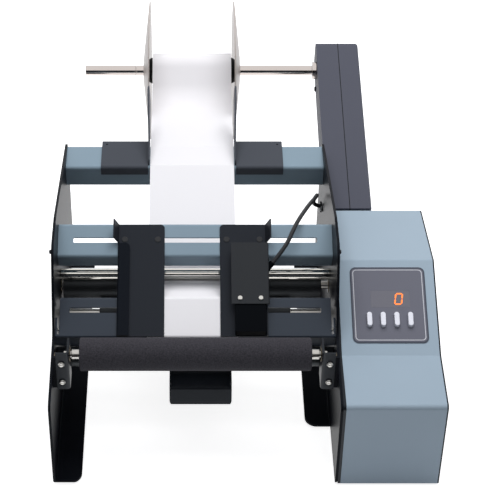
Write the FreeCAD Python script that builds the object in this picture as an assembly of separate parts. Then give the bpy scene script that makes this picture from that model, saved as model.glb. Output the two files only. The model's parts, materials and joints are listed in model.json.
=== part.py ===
import FreeCAD, Part

import math
import os

os.makedirs("parts", exist_ok=True)
V = FreeCAD.Vector

# A table-top labeler for pouches. Sizes are in millimetres, +X to the right, +Y to the rear, +Z up.
# It is drawn with X zero midway between the side plates, Y zero at their front edge and Z zero
# under their foot flanges, and moved at the end so that the origin is on the table under its middle.

# Clearances
SHAFT_CLEAR = 0.05      # radial, shaft in its bush
SCREW_CLEAR = 0.2       # radial, screw in its hole
SLIDE_CLEAR = 0.3       # between sliding or turning pieces and what they pass
SHEET_CLEAR = 0.3       # between the label strip and what it passes

# Side plates and foot flanges
FRAME_WIDTH = 324.0
PLATE_T = 3.0
PLATE_DEPTH = 421.0
PLATE_FRONT_HEIGHT = 126.0
PLATE_REAR_HEIGHT = 175.0
PLATE_CREST_HEIGHT = 231.0
SHOULDER_Y = 100.0
SHOULDER_RISE = 14.0
CREST_FRONT_Y = 150.0
CREST_LENGTH = 55.0
BEND_R = 2.0
PLATE_CORNER_R = 3.0
PLATE_END_R = 8.0       # at the top of the front and rear edges
SHOULDER_R = 22.0
CREST_R = 30.0
FOOT_WIDTH = 33.0
FOOT_CORNER_R = 14.0
RIGHT_FOOT_START = 90.0
PAD_R = 9.0
PAD_T = 3.0
PAD_EDGE = 24.0

# Sloping deck: its front edge is the peel edge
DECK_ANGLE = 24.0
PEEL_Y = 100.0
PEEL_Z = 139.0
SHEET_T = 2.0
BAR_DEPTH = 44.0
BAR_HEIGHT = 25.0
SLOTTED_BAR_START = 101.5
SLOT_WIDTH = 6.5
SLOT_CORNER_R = 1.2
SLOT_HALF = 144.0
PEEL_DEPTH = 51.0
PEEL_GAP = 4.5
PEEL_SLOT_FROM_EDGE = 34.0

# Rear crossbar
REAR_BAR_Y = 370.0
REAR_BAR_DEPTH = 45.0
REAR_BAR_TOP = 175.0
REAR_BAR_HEIGHT = 28.0

# Guide rod and rollers between the plates
GUIDE_ROD_R = 7.0
GUIDE_ROD_Y = 213.0
GUIDE_ROD_Z = 136.0
DRIVE_R = 18.0
DRIVE_ANGLE = -72.0    # of the line from the guide rod down to the drive roller
DRIVE_LEFT = 159.0
DRIVE_RIGHT = 152.0
DRIVE_SHAFT_R = 5.0
PINCH_R = 15.0
PINCH_HALF = 115.0
PINCH_ANGLE = 43.4      # of the line from the pinch roller up to the drive roller
PINCH_SHAFT_R = 5.0
FOAM_R = 19.0
FOAM_END_GAP = 11.5     # from the sleeve's end to the bracket
FOAM_Y = 62.0
FOAM_Z = 149.0
FOAM_SHAFT_R = 6.0
FOAM_JOURNAL_R = 4.0
FEED_R = 9.0
FEED_HALF = 142.5
FEED_ANGLE = -54.4      # of the line from the foam roller down to the feed roller
FEED_SHAFT_R = 3.0
RUBBER_T = 4.0
FOAM_T = 10.0
BUSH_WALL = 2.5
BUSH_FLANGE = 2.0
BUSH_FLANGE_T = 1.0

# Brackets of the foam roller
BRACKET_T = 2.5
BRACKET_WIDTH = 15.0
BRACKET_LENGTH = 26.0
BRACKET_BOTTOM = 108.0
BRACKET_HEIGHT = 56.0
BRACKET_FACE_Y = 47.0
BRACKET_INNER_X = 142.5
BRACKET_SCREW_LOW = 12.0
BRACKET_SCREW_PITCH = 28.0
TAB_SHARE = 0.85         # of the bracket's height, on the plate behind it
TAB_T = 3.0

# Lower tie bar and the tray on it
TIE_Y = 103.0
TIE_DEPTH = 18.0
TIE_TOP = 106.0
TIE_HEIGHT = 17.0
TRAY_WIDTH = 72.6
TRAY_CENTRE_X = 6.2
TRAY_Z = 80.0
TRAY_REACH = 26.0
TRAY_LIP = 22.0
TRAY_LIP_ANGLE = 15.0
TRAY_WALL = 6.0
TRAY_CORNER_R = 5.0

# Screws
PAN_R = 3.6
PAN_H = 2.4
SEAM_SCREW_LENGTH = 12.0
SHANK_R = 2.0
FLUSH_R = 4.5
FLUSH_H = 1.8
KNOB_R = 6.0
KNOB_H = 6.0

# Control box, outside the right plate
CHASSIS_T = 3.4
COVER_WIDTH = 112.5
COVER_T = 1.5
COVER_R = 4.0
END_PLATE_T = 1.8
BOX_FRONT_HEIGHT = 127.0
BOX_FLAT = 82.0
BOX_CREST_Y = 200.0
BOX_CREST_Z = 170.0
BOX_REAR_Y = 327.0
BOX_REAR_HEIGHT = 142.0

# Keypad on the sloping face of the control box
PANEL_WIDTH = 88.0
PANEL_LENGTH = 99.0
PANEL_T = 0.8
PANEL_R = 7.0
PANEL_START = 16.0      # up the slope from its lower fold
PANEL_MARGIN = 7.0
PANEL_CENTRE_X = 226.0
KEY_WIDTH = 6.0
KEY_LENGTH = 18.0
KEY_PROUD = 5.0
KEY_TRAVEL = 1.2
KEY_STEM_R = 1.6
KEY_PITCH = 15.9
KEY_COUNT = 4
KEY_ROW = 29.0          # up the panel from its lower edge
DISPLAY_WIDTH = 46.0
DISPLAY_LENGTH = 22.0
DISPLAY_ROW = 57.0
DISPLAY_SHIFT_X = 2.0
BOARD_T = 1.6
BOARD_DROP = 14.0
SWITCH_SIZE = 6.0
POST_R = 2.5

# Motor and belt inside the control box
MOTOR_SIZE = 42.0
MOTOR_LENGTH = 40.0
MOTOR_Y = 150.0
MOTOR_Z = 58.0
MOTOR_SHAFT_R = 2.5
MOTOR_BRACKET_T = 3.0
PULLEY_GAP = 4.0
PULLEY_WIDTH = 10.0
PULLEY_FLANGE = 2.0
PULLEY_FLANGE_T = 1.0
DRIVE_PULLEY_R = 20.0
MOTOR_PULLEY_R = 8.0
BELT_T = 1.5
BELT_WIDTH = 7.0

# Power inlet and switch on the rear of the control box
INLET_R = 6.0
INLET_BORE_R = 2.8
INLET_PIN_R = 1.0
INLET_DEPTH = 11.0
INLET_FLANGE = 2.0
INLET_X = 252.0
REAR_FITTING_Z = 38.0
SWITCH_X = 214.0
ROCKER_WIDTH = 10.0
ROCKER_HEIGHT = 19.0
ROCKER_SWING = 18.0
ROCKER_PIN_R = 1.2
ROCKER_FRAME = 2.5
ROCKER_DEPTH = 14.0

# Arm that carries the supply spindle
ARM_Y = 332.0
ARM_Z = 139.5
ARM_ANGLE = 10.2
ARM_LENGTH = 300.0
ARM_HEIGHT = 48.0
ARM_INNER_WIDTH = 29.4
ARM_OUTER_WIDTH = 27.5
ARM_WALL = 2.5
ARM_CORNER_R = 12.0
ARM_EDGE_R = 4.0
ARM_SCREWS = [(350.0, 124.0), (402.0, 136.0)]
SEAM_SCREW_AHEAD = 12.0  # of the spindle
SEAM_SCREW_BELOW = 22.0
BOSS_WALL = 6.0         # round the spindle
BOSS_END_GAP = 8.0      # from the boss to the arm's seam

# Spindle, flange discs and label roll
SPINDLE_Y = 590.0
SPINDLE_Z = 168.0
SPINDLE_R = 7.0
SPINDLE_LEFT = 147.0
SPINDLE_FREE = 68.0      # from the left end to the groove for a retaining ring
GROOVE_WIDTH = 1.3
GROOVE_DEPTH = 0.6
COLLAR_T = 6.0
COLLAR_R = 12.0
DISC_R = 92.7
DISC_T = 1.5
DISC_RIM = 3.5
DISC_DISH = 7.0
DISC_FLAT_R = 18.0
DISC_BORE_R = 9.5
DISC_GAP = 1.0          # from the roll's face to the disc's rim
HUB_R = 17.2
HUB_PLUG = 22.0
HUB_NECK_R = 11.0
HUB_DOME = 8.0          # from the roll's face to the neck
HUB_CLEAR = 0.2         # radial, hub in the roll's core
CORE_T = 2.5
ROLL_R = 23.5
STRIP_WIDTH = 105.4
STRIP_CENTRE_X = -3.3
STRIP_T = 0.6
STRIP_LEAVE_ANGLE = 130.0
STRIP_SAG_Z = 156.0
STRIP_SAG_R = 50.0
LINER_TAIL = 24.0

# Strip guides on the rear crossbar
CAP_LENGTH = 59.0
CAP_T = 2.0
CAP_SKIRT = 12.0
CAP_REAR_GAP = 6.5
CAP_HOLE_IN = 6.0       # from the cap's outer end and rear
CAP_HOLE_R = 1.3
EAR_GAP = 0.7
EAR_T = 2.0
EAR_FLARE = 1.5
EAR_RISE = 51.0
EAR_REACH = 65.0
EAR_TOP = 30.0
EAR_TOP_R = 12.0
EAR_BEND_R = 20.0
EAR_REAR_R = 8.0

# Pouch guides on the deck
GUIDE_LENGTH = 143.0
GUIDE_T = 1.5
GUIDE_BEND_R = 1.0
GUIDE_WALL = 5.0
GUIDE_WIDTH = 55.0
LEFT_GUIDE_X = -36.0    # inner edge
RIGHT_GUIDE_X = 29.0    # inner edge
LIP_WIDTH = 14.0
LIP_LENGTH = 117.5
LIP_CORNER_R = 5.0
FLARE_LENGTH = 24.0
FLARE_HEIGHT = 16.5
FLARE_ANGLE = 18.0
GUIDE_SCREW_IN = 8.0
CLAMP_HEAD_H = 0.7
CLAMP_NUT = 11.0
CLAMP_NUT_T = 4.0

# Pouch sensor on the right guide
SENSOR_INSET = 17.0     # from the guide's inner edge
SENSOR_LENGTH = 110.0
SENSOR_HEIGHT = 13.0
SENSOR_COVER_LENGTH = 78.0
SENSOR_COVER_END = 113.0
SENSOR_COVER_T = 1.2
SENSOR_COVER_LAP = 4.2
SENSOR_COVER_LIP = 3.0
SENSOR_SCREW_PITCH = 24.0
SENSOR_SCREW_R = 2.8
SENSOR_SCREW_IN = 7.0
SENSOR_HOLE = 10.0
CABLE_R = 2.5
CABLE_CUT = 40.0         # cutter along the cable at the plate
GLAND_R = 3.5
GLAND_LENGTH = 18.0
GLAND_GRIP = 5.0
GROMMET_R = 5.5
GROMMET_FLANGE = 1.5

HALF = FRAME_WIDTH / 2
PLATE_OUT = HALF + PLATE_T


def unit(start, end):
    """Unit direction from start to end, as a pair."""
    length = math.hypot(end[0] - start[0], end[1] - start[1])
    return (end[0] - start[0]) / length, (end[1] - start[1]) / length


def polar(centre, radius, degrees):
    """Point at radius and angle round centre."""
    angle = math.radians(degrees)
    return centre[0] + radius * math.cos(angle), centre[1] + radius * math.sin(angle)


def rounded_corner(before, corner, after, radius):
    """Start, middle and end of the arc that rounds a corner."""
    into = unit(before, corner)
    out = unit(corner, after)
    turn = math.acos(max(-1.0, min(1.0, into[0] * out[0] + into[1] * out[1])))
    if radius == 0 or turn < 0.001:
        return corner, corner, corner
    run = radius * math.tan(turn / 2)
    start = (corner[0] - into[0] * run, corner[1] - into[1] * run)
    end = (corner[0] + out[0] * run, corner[1] + out[1] * run)
    inward = unit(into, out)
    reach = radius / math.cos(turn / 2) - radius
    middle = (corner[0] + inward[0] * reach, corner[1] + inward[1] * reach)
    return start, middle, end


def outline_wire(points, radii, place):
    """Closed wire through points, each corner rounded by its radius."""
    count = len(points)
    corners = []
    for i in range(count):
        corners.append(rounded_corner(points[i - 1], points[i], points[(i + 1) % count], radii[i]))
    edges = []
    for i in range(count):
        last_end = corners[i - 1][2]
        start, middle, end = corners[i]
        if math.dist(last_end, start) > 0.0001:
            edges.append(Part.LineSegment(place(*last_end), place(*start)).toShape())
        if start != end:
            edges.append(Part.Arc(place(*start), place(*middle), place(*end)).toShape())
    return Part.Wire(edges)


def prism(points, radii, place, sweep):
    """Solid with a rounded outline, extruded along sweep."""
    if not isinstance(radii, list):
        radii = [radii] * len(points)
    return Part.Face(outline_wire(points, radii, place)).extrude(sweep)


def side_offset(points, distance):
    """An open line of points, shifted to its left by distance."""
    shifted = []
    for i in range(len(points)):
        into = unit(points[max(i - 1, 0)], points[max(i, 1)])
        out = unit(points[min(i, len(points) - 2)], points[min(i + 1, len(points) - 1)])
        scale = distance / (1 + into[0] * out[0] + into[1] * out[1])
        shifted.append((points[i][0] - (into[1] + out[1]) * scale, points[i][1] + (into[0] + out[0]) * scale))
    return shifted


def sheet_outline(points, thickness, bends):
    """Corners and radii of a sheet whose middle line runs through points; bends are inner radii."""
    if not isinstance(bends, list):
        bends = [bends] * (len(points) - 2)
    left_radii = [0]
    right_radii = [0]
    for i in range(1, len(points) - 1):
        into = unit(points[i - 1], points[i])
        out = unit(points[i], points[i + 1])
        turns_left = into[0] * out[1] - into[1] * out[0] > 0
        left_radii.append(bends[i - 1] + (0 if turns_left else thickness))
        right_radii.append(bends[i - 1] + (thickness if turns_left else 0))
    left_radii.append(0)
    right_radii.append(0)
    left = side_offset(points, thickness / 2)
    right = side_offset(points, -thickness / 2)
    return left + right[::-1], left_radii + right_radii[::-1]


def folded_sheet(points, thickness, bends, place, sweep):
    """Sheet with folds, extruded along sweep."""
    corners, radii = sheet_outline(points, thickness, bends)
    return prism(corners, radii, place, sweep)


def on_side(y, z):
    return V(0, y, z)


def on_front(x, z):
    return V(x, 0, z)


def on_floor(x, y):
    return V(x, y, 0)


def box(x0, x1, y0, y1, z0, z1):
    return Part.makeBox(x1 - x0, y1 - y0, z1 - z0, V(x0, y0, z0))


def moved(shape, x, y, z):
    copy = shape.copy()
    copy.translate(V(x, y, z))
    return copy


def tilted(shape, degrees, y, z):
    """Shape turned about the X axis, then moved."""
    copy = shape.copy()
    copy.rotate(V(0, 0, 0), V(1, 0, 0), degrees)
    copy.translate(V(0, y, z))
    return copy


def mirrored(shape):
    return shape.mirror(V(0, 0, 0), V(1, 0, 0))


def rod(x0, x1, centre, radius):
    """Round bar along X through centre, a pair of Y and Z."""
    return Part.makeCylinder(radius, x1 - x0, V(x0, centre[0], centre[1]), V(1, 0, 0))


def tube(x0, x1, centre, outer, inner):
    return rod(x0, x1, centre, outer).cut(rod(x0 - 1, x1 + 1, centre, inner))


def fused(shapes):
    return shapes[0].multiFuse(shapes[1:]).removeSplitter()


def screw(seat, out, head_r, head_h, length, crown):
    """Screw with its head on seat, facing out; crown rounds the head's rim."""
    head = Part.makeCylinder(head_r, head_h, seat, out)
    rim = [edge for edge in head.Edges if edge.Curve.TypeId == "Part::GeomCircle"]
    rim = max(rim, key=lambda edge: (edge.Curve.Center - seat).Length)
    head = head.makeFillet(crown, [rim])
    return head.fuse(Part.makeCylinder(SHANK_R, length, seat, out * -1)).removeSplitter()


NODES = {}


def keep(name, *shapes):
    """Store a node; loose solids of one node stay separate."""
    NODES[name] = shapes[0] if len(shapes) == 1 else Part.makeCompound(list(shapes))


def deck(shape):
    """Place a shape that is drawn on the sloping deck: Y up the slope, Z off it."""
    return tilted(shape, DECK_ANGLE, PEEL_Y, PEEL_Z)


def deck_point(along, off):
    """Y and Z of a point on the sloping deck."""
    angle = math.radians(DECK_ANGLE)
    y = PEEL_Y + along * math.cos(angle) - off * math.sin(angle)
    z = PEEL_Z + along * math.sin(angle) + off * math.cos(angle)
    return y, z


# Places that several pieces share
STRIP_GAP = STRIP_T + 2 * SHEET_CLEAR
GUIDE_ROD = (GUIDE_ROD_Y, GUIDE_ROD_Z)
DRIVE = polar(GUIDE_ROD, GUIDE_ROD_R + DRIVE_R + STRIP_GAP, DRIVE_ANGLE)
PINCH = polar(DRIVE, DRIVE_R + PINCH_R + STRIP_GAP, PINCH_ANGLE + 180)
FOAM = (FOAM_Y, FOAM_Z)
FEED = polar(FOAM, FOAM_R + FEED_R + SLIDE_CLEAR, FEED_ANGLE)
SPINDLE = (SPINDLE_Y, SPINDLE_Z)
SLOTTED_SLOT = SLOTTED_BAR_START + BAR_DEPTH / 2
SLOTTED_BAR_RISE = STRIP_GAP - SLIDE_CLEAR
BOX_LEFT = PLATE_OUT + CHASSIS_T
BOX_RIGHT = BOX_LEFT + COVER_WIDTH

# Corners of the sensor cable's middle line, from the gland's tip to its end inside the arm
CABLE_ROUTE = [
    V(90.4, 178, 185),
    V(106, 190, 198),
    V(118, 218, 210),
    V(134, 262, 200),
    V(147, 312, 172),
    V(149, 345, 148),
    V(143, 361, 128),
    V(153, 370, 112),
    V(170, 372, 108),
]

# Screws that hold the bars between the side plates
REAR_BAR_SCREWS = [
    (REAR_BAR_Y + REAR_BAR_DEPTH * share, REAR_BAR_TOP - REAR_BAR_HEIGHT / 2) for share in (0.27, 0.73)
]
PEEL_SCREW = deck_point(BAR_DEPTH / 3, -BAR_HEIGHT / 2)
TIE_SCREW = (TIE_Y + TIE_DEPTH / 2, TIE_TOP - TIE_HEIGHT / 2)
SLOTTED_SCREW = deck_point(SLOTTED_BAR_START + KNOB_R + 5, -KNOB_R - 2.4)
FLUSH_SCREWS = REAR_BAR_SCREWS + [PEEL_SCREW, TIE_SCREW, GUIDE_ROD]


def bush_radius(shaft_r):
    return shaft_r + SHAFT_CLEAR + BUSH_WALL


def side_plate(side, foot_start):
    """Side plate with its foot flange folded inward; side is 1 on the right, -1 on the left."""
    outline = [
        (0, 0),
        (0, PLATE_FRONT_HEIGHT),
        (SHOULDER_Y, PLATE_FRONT_HEIGHT + SHOULDER_RISE),
        (CREST_FRONT_Y, PLATE_CREST_HEIGHT),
        (CREST_FRONT_Y + CREST_LENGTH, PLATE_CREST_HEIGHT),
        (PLATE_DEPTH, PLATE_REAR_HEIGHT),
        (PLATE_DEPTH, 0),
    ]
    radii = [PLATE_CORNER_R, PLATE_END_R, SHOULDER_R, SHOULDER_R, CREST_R, PLATE_END_R, PLATE_CORNER_R]
    middle = HALF + PLATE_T / 2
    fold_points = [
        (middle, PLATE_CREST_HEIGHT + 1),
        (middle, PLATE_T / 2),
        (PLATE_OUT - FOOT_WIDTH, PLATE_T / 2),
    ]
    fold = folded_sheet(fold_points, PLATE_T, BEND_R, on_front, V(0, PLATE_DEPTH, 0))
    plate = fold.common(prism(outline, radii, on_side, V(PLATE_OUT + 1, 0, 0)))
    inner = PLATE_OUT - FOOT_WIDTH
    outer = PLATE_OUT + 1
    foot = [(inner, foot_start), (outer, foot_start), (outer, PLATE_DEPTH), (inner, PLATE_DEPTH)]
    foot_block = prism(foot, [FOOT_CORNER_R, 0, 0, FOOT_CORNER_R], on_floor, V(0, 0, PLATE_T + 2))
    outside_foot = box(0, HALF, -1, PLATE_DEPTH + 1, -1, PLATE_T + 1).cut(
        foot_block.translate(V(0, 0, -1))
    )
    plate = plate.cut(outside_foot)
    tab = box(
        HALF - BRACKET_WIDTH,
        HALF,
        BRACKET_FACE_Y + BRACKET_T,
        BRACKET_FACE_Y + BRACKET_T + TAB_T,
        BRACKET_BOTTOM,
        BRACKET_BOTTOM + BRACKET_HEIGHT * TAB_SHARE,
    )
    plate = plate.fuse(tab)
    cutters = []
    for place in FLUSH_SCREWS:
        cutters.append(rod(HALF - 1, PLATE_OUT + 1, place, SHANK_R + SCREW_CLEAR))
        cutters.append(rod(PLATE_OUT - FLUSH_H, PLATE_OUT + 1, place, FLUSH_R + SCREW_CLEAR))
    cutters.append(rod(HALF - 1, PLATE_OUT + 1, SLOTTED_SCREW, SHANK_R + SCREW_CLEAR))
    for place, shaft_r in ((DRIVE, DRIVE_SHAFT_R), (PINCH, PINCH_SHAFT_R), (FEED, FEED_SHAFT_R)):
        cutters.append(rod(HALF - 1, PLATE_OUT + 1, place, bush_radius(shaft_r)))
    for place in bracket_screw_seats():
        cutters.append(Part.makeCylinder(SHANK_R + SCREW_CLEAR, BRACKET_T + TAB_T + 3, place, V(0, 1, 0)))
    plate = plate.cut(Part.makeCompound(cutters)).removeSplitter()
    return plate if side > 0 else mirrored(plate)


def bracket_screw_seats():
    """Seats of the two screws on the face of the right roller bracket."""
    x = BRACKET_INNER_X + BRACKET_T + (BRACKET_WIDTH - BRACKET_T) / 2
    low = BRACKET_BOTTOM + BRACKET_SCREW_LOW
    return [V(x, BRACKET_FACE_Y, low), V(x, BRACKET_FACE_Y, low + BRACKET_SCREW_PITCH)]


def bar(half, depth, height, bends):
    """Folded channel, open below, with a tab at each end; top at Z zero and front at Y zero."""
    middle = SHEET_T / 2
    points = [(middle, -height), (middle, -middle), (depth - middle, -middle), (depth - middle, -height)]
    channel = moved(folded_sheet(points, SHEET_T, bends, on_side, V(2 * half, 0, 0)), -half, 0, 0)
    tab = box(half - SHEET_T, half, SHEET_T, depth - SHEET_T, -height, -SHEET_T)
    return fused([channel, tab, mirrored(tab)])


def slot(half, y):
    """Cutter for a slot along X with small corners."""
    low = y - SLOT_WIDTH / 2
    high = y + SLOT_WIDTH / 2
    corners = [(-half, low), (half, low), (half, high), (-half, high)]
    return moved(prism(corners, SLOT_CORNER_R, on_floor, V(0, 0, SHEET_T + 2)), 0, 0, -SHEET_T - 1)


def screw_holes(places):
    """Cutters along X for the screws in the tabs of the bars."""
    return Part.makeCompound([rod(-PLATE_OUT, PLATE_OUT, place, SHANK_R + SCREW_CLEAR) for place in places])


# Side plates, their pads and screws
keep("left_side_plate", side_plate(-1, 0))
keep("right_side_plate", side_plate(1, RIGHT_FOOT_START))

foot_middle = PLATE_OUT - FOOT_WIDTH / 2
pad_places = [
    (-foot_middle, PAD_EDGE),
    (-foot_middle, PLATE_DEPTH - PAD_EDGE),
    (foot_middle, RIGHT_FOOT_START + PAD_EDGE),
    (foot_middle, PLATE_DEPTH - PAD_EDGE),
    (BOX_RIGHT - PAD_EDGE, PAD_EDGE),
    (BOX_RIGHT - PAD_EDGE, BOX_REAR_Y - PAD_EDGE),
]
keep("rubber_feet", *[Part.makeCone(PAD_R - 1, PAD_R, PAD_T, V(x, y, -PAD_T)) for x, y in pad_places])

frame_screws = []
for side in (-1, 1):
    for place in FLUSH_SCREWS:
        seat = V(side * (PLATE_OUT - FLUSH_H), place[0], place[1])
        frame_screws.append(screw(seat, V(side, 0, 0), FLUSH_R, FLUSH_H, PLATE_T + SHEET_T + 3, 0.4))
    seat = V(side * PLATE_OUT, SLOTTED_SCREW[0], SLOTTED_SCREW[1])
    frame_screws.append(screw(seat, V(side, 0, 0), KNOB_R, KNOB_H, PLATE_T + SHEET_T + 5, 2))
keep("frame_screws", *frame_screws)

# Bars between the side plates
rear_bar = moved(bar(HALF, REAR_BAR_DEPTH, REAR_BAR_HEIGHT, BEND_R), 0, REAR_BAR_Y, REAR_BAR_TOP)
keep("rear_crossbar", rear_bar.cut(screw_holes(REAR_BAR_SCREWS)))

slotted_bar = bar(HALF, BAR_DEPTH, BAR_HEIGHT, BEND_R).cut(slot(SLOT_HALF, BAR_DEPTH / 2))
slotted_bar = deck(moved(slotted_bar, 0, SLOTTED_BAR_START, SLOTTED_BAR_RISE))
keep("slotted_crossbar", slotted_bar.cut(screw_holes([SLOTTED_SCREW])))

# The peel channel has a sharper front fold, and its top stops short of the plates
peel_bar = bar(HALF, PEEL_DEPTH, BAR_HEIGHT, [BEND_R / 4, BEND_R])
notch = box(HALF - PEEL_GAP, HALF, PEEL_DEPTH / 2, PEEL_DEPTH + 1, -BAR_HEIGHT - 1, 1)
notch = notch.fuse(box(HALF - PEEL_GAP, HALF, SHEET_T + BEND_R, PEEL_DEPTH + 1, -SHEET_T, 1))
peel_bar = peel_bar.cut(notch).cut(mirrored(notch)).cut(slot(SLOT_HALF + 2, PEEL_SLOT_FROM_EDGE))
keep("peel_channel", deck(peel_bar).cut(screw_holes([PEEL_SCREW])))

guide_rod = rod(-HALF, HALF, GUIDE_ROD, GUIDE_ROD_R)
guide_rod_ends = [rod(-HALF - 1, -HALF + 12, GUIDE_ROD, SHANK_R + SCREW_CLEAR)]
guide_rod_ends.append(rod(HALF - 12, HALF + 1, GUIDE_ROD, SHANK_R + SCREW_CLEAR))
keep("guide_rod", guide_rod.cut(Part.makeCompound(guide_rod_ends)))

tie = moved(bar(HALF, TIE_DEPTH, TIE_HEIGHT, BEND_R), 0, TIE_Y, TIE_TOP)

# Tray that hangs from the lower tie bar
tray_left = TRAY_CENTRE_X - TRAY_WIDTH / 2
tray_right = TRAY_CENTRE_X + TRAY_WIDTH / 2
tray_fold = (TIE_Y - TRAY_REACH, TRAY_Z)
tray_lip_end = polar(tray_fold, TRAY_LIP, 270 - TRAY_LIP_ANGLE)
tray_points = [(TIE_Y - SHEET_T / 2, TIE_TOP - 3), (TIE_Y - SHEET_T / 2, TRAY_Z), tray_fold, tray_lip_end]
tray = moved(folded_sheet(tray_points, SHEET_T, BEND_R, on_side, V(TRAY_WIDTH, 0, 0)), tray_left, 0, 0)
tray_mask = [
    (tray_left, tray_lip_end[1] - SHEET_T),
    (tray_right, tray_lip_end[1] - SHEET_T),
    (tray_right, TIE_TOP),
    (tray_left, TIE_TOP),
]
tray_corner_r = TRAY_CORNER_R + SHEET_T
tray = tray.common(prism(tray_mask, [tray_corner_r, tray_corner_r, 0, 0], on_front, V(0, TIE_Y, 0)))
tray_wall_front = tray_fold[0] + BEND_R
tray_wall = box(tray_left, tray_left + SHEET_T, tray_wall_front, TIE_Y - SHEET_T, TRAY_Z, TRAY_Z + TRAY_WALL)
tray = fused([tray, tray_wall, moved(tray_wall, TRAY_WIDTH - SHEET_T, 0, 0)])
pan_screws = []
tray_holes = []
for x in (TRAY_CENTRE_X - TRAY_WIDTH / 4, TRAY_CENTRE_X + TRAY_WIDTH / 4):
    seat = V(x, TIE_Y - SHEET_T, TIE_TOP - TIE_HEIGHT / 2)
    pan_screws.append(screw(seat, V(0, -1, 0), PAN_R, PAN_H, 2 * SHEET_T + 3, 1))
    back = V(0, 1, 0)
    tray_holes.append(Part.makeCylinder(SHANK_R + SCREW_CLEAR, 2 * SHEET_T + 4, seat - back, back))
keep("lower_tie", tie.cut(screw_holes([TIE_SCREW])).cut(Part.makeCompound(tray_holes)))
keep("lower_tray", tray.cut(Part.makeCompound(tray_holes)))


# Rollers and their bushes
def roller(name, centre, radius, sleeve_t, left, right, shaft_r, shaft_left, shaft_right):
    """Sleeve on a core whose shaft reaches out at both ends."""
    keep(name + "_sleeve", tube(left, right, centre, radius, radius - sleeve_t))
    core = rod(left, right, centre, radius - sleeve_t)
    return fused([core, rod(shaft_left, shaft_right, centre, shaft_r)])


shaft_end = PLATE_OUT - 0.5
drive_pulley_left = BOX_LEFT + PULLEY_GAP
drive_shaft_right = drive_pulley_left + PULLEY_WIDTH
drive_core = roller(
    "drive_roller",
    DRIVE,
    DRIVE_R,
    RUBBER_T,
    -DRIVE_LEFT,
    DRIVE_RIGHT,
    DRIVE_SHAFT_R,
    -shaft_end,
    drive_shaft_right,
)
keep("drive_roller_shaft", drive_core)
for name, centre, radius, half, shaft_r in (
    ("pinch_roller", PINCH, PINCH_R, PINCH_HALF, PINCH_SHAFT_R),
    ("feed_roller", FEED, FEED_R, FEED_HALF, FEED_SHAFT_R),
):
    core = roller(name, centre, radius, RUBBER_T, -half, half, shaft_r, -shaft_end, shaft_end)
    keep(name + "_shaft", core)
journal_end = BRACKET_INNER_X + BRACKET_T + BUSH_FLANGE_T + 3
foam_neck = BRACKET_INNER_X - BUSH_FLANGE_T - 1.5
foam_half = BRACKET_INNER_X - FOAM_END_GAP
foam_shaft = roller(
    "foam_roller", FOAM, FOAM_R, FOAM_T, -foam_half, foam_half, FOAM_SHAFT_R, -foam_neck, foam_neck
)
keep("foam_roller_shaft", fused([foam_shaft, rod(-journal_end, journal_end, FOAM, FOAM_JOURNAL_R)]))


def bush(inner_face, outer_face, centre, shaft_r, side):
    """Flanged bush in a wall; the flange lies on the wall's inner face."""
    outer = bush_radius(shaft_r)
    sleeve = rod(inner_face, outer_face, centre, outer)
    flange = rod(inner_face - BUSH_FLANGE_T, inner_face, centre, outer + BUSH_FLANGE)
    bore = rod(inner_face - 5, outer_face + 5, centre, shaft_r + SHAFT_CLEAR)
    made = fused([sleeve, flange]).cut(bore)
    return made if side > 0 else mirrored(made)


bushes = []
for side in (-1, 1):
    for place, shaft_r in ((DRIVE, DRIVE_SHAFT_R), (PINCH, PINCH_SHAFT_R), (FEED, FEED_SHAFT_R)):
        bushes.append(bush(HALF, PLATE_OUT, place, shaft_r, side))
    bushes.append(bush(BRACKET_INNER_X, BRACKET_INNER_X + BRACKET_T, FOAM, FOAM_JOURNAL_R, side))
keep("shaft_bushes", *bushes)

# Angle brackets that hold the foam roller
leg = BRACKET_INNER_X + BRACKET_T / 2
face = BRACKET_FACE_Y + BRACKET_T / 2
bracket_points = [
    (leg, BRACKET_FACE_Y + BRACKET_LENGTH),
    (leg, face),
    (BRACKET_INNER_X + BRACKET_WIDTH, face),
]
bracket = folded_sheet(bracket_points, BRACKET_T, BRACKET_T / 2, on_floor, V(0, 0, BRACKET_HEIGHT))
bracket = moved(bracket, 0, 0, BRACKET_BOTTOM)
bracket_cutters = [rod(0, BRACKET_INNER_X + BRACKET_T + 1, FOAM, bush_radius(FOAM_JOURNAL_R))]
for seat in bracket_screw_seats():
    back = V(0, 1, 0)
    bracket_cutters.append(Part.makeCylinder(SHANK_R + SCREW_CLEAR, BRACKET_T + 2, seat - back, back))
    bracket_screw = screw(seat, V(0, -1, 0), PAN_R, PAN_H, BRACKET_T + TAB_T + 2, 1)
    pan_screws += [bracket_screw, mirrored(bracket_screw)]
bracket = bracket.cut(Part.makeCompound(bracket_cutters))
keep("roller_bracket_right", bracket)
keep("roller_bracket_left", mirrored(bracket))


# Control box: chassis, wrapped cover and end plate share one outline
box_outline = [
    (0, 0),
    (0, BOX_FRONT_HEIGHT),
    (BOX_FLAT, BOX_FRONT_HEIGHT),
    (BOX_CREST_Y, BOX_CREST_Z),
    (BOX_REAR_Y, BOX_REAR_HEIGHT),
    (BOX_REAR_Y, 0),
]
box_radii = [0] + [COVER_R + COVER_T] * 4 + [0]
PANEL_SLOPE = math.degrees(math.atan2(BOX_CREST_Z - BOX_FRONT_HEIGHT, BOX_CREST_Y - BOX_FLAT))


def panel(shape):
    """Place a shape that is drawn on the sloping face of the control box."""
    return tilted(shape, PANEL_SLOPE, BOX_FLAT, BOX_FRONT_HEIGHT)


def rounded_plate(centre, width, length, radius, bottom, top):
    """Flat plate with rounded corners, its outline on X and Y."""
    x, y = centre
    corners = [(x - width / 2, y - length / 2), (x + width / 2, y - length / 2)]
    corners += [(x + width / 2, y + length / 2), (x - width / 2, y + length / 2)]
    return moved(prism(corners, radius, on_floor, V(0, 0, top - bottom)), 0, 0, bottom)


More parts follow.
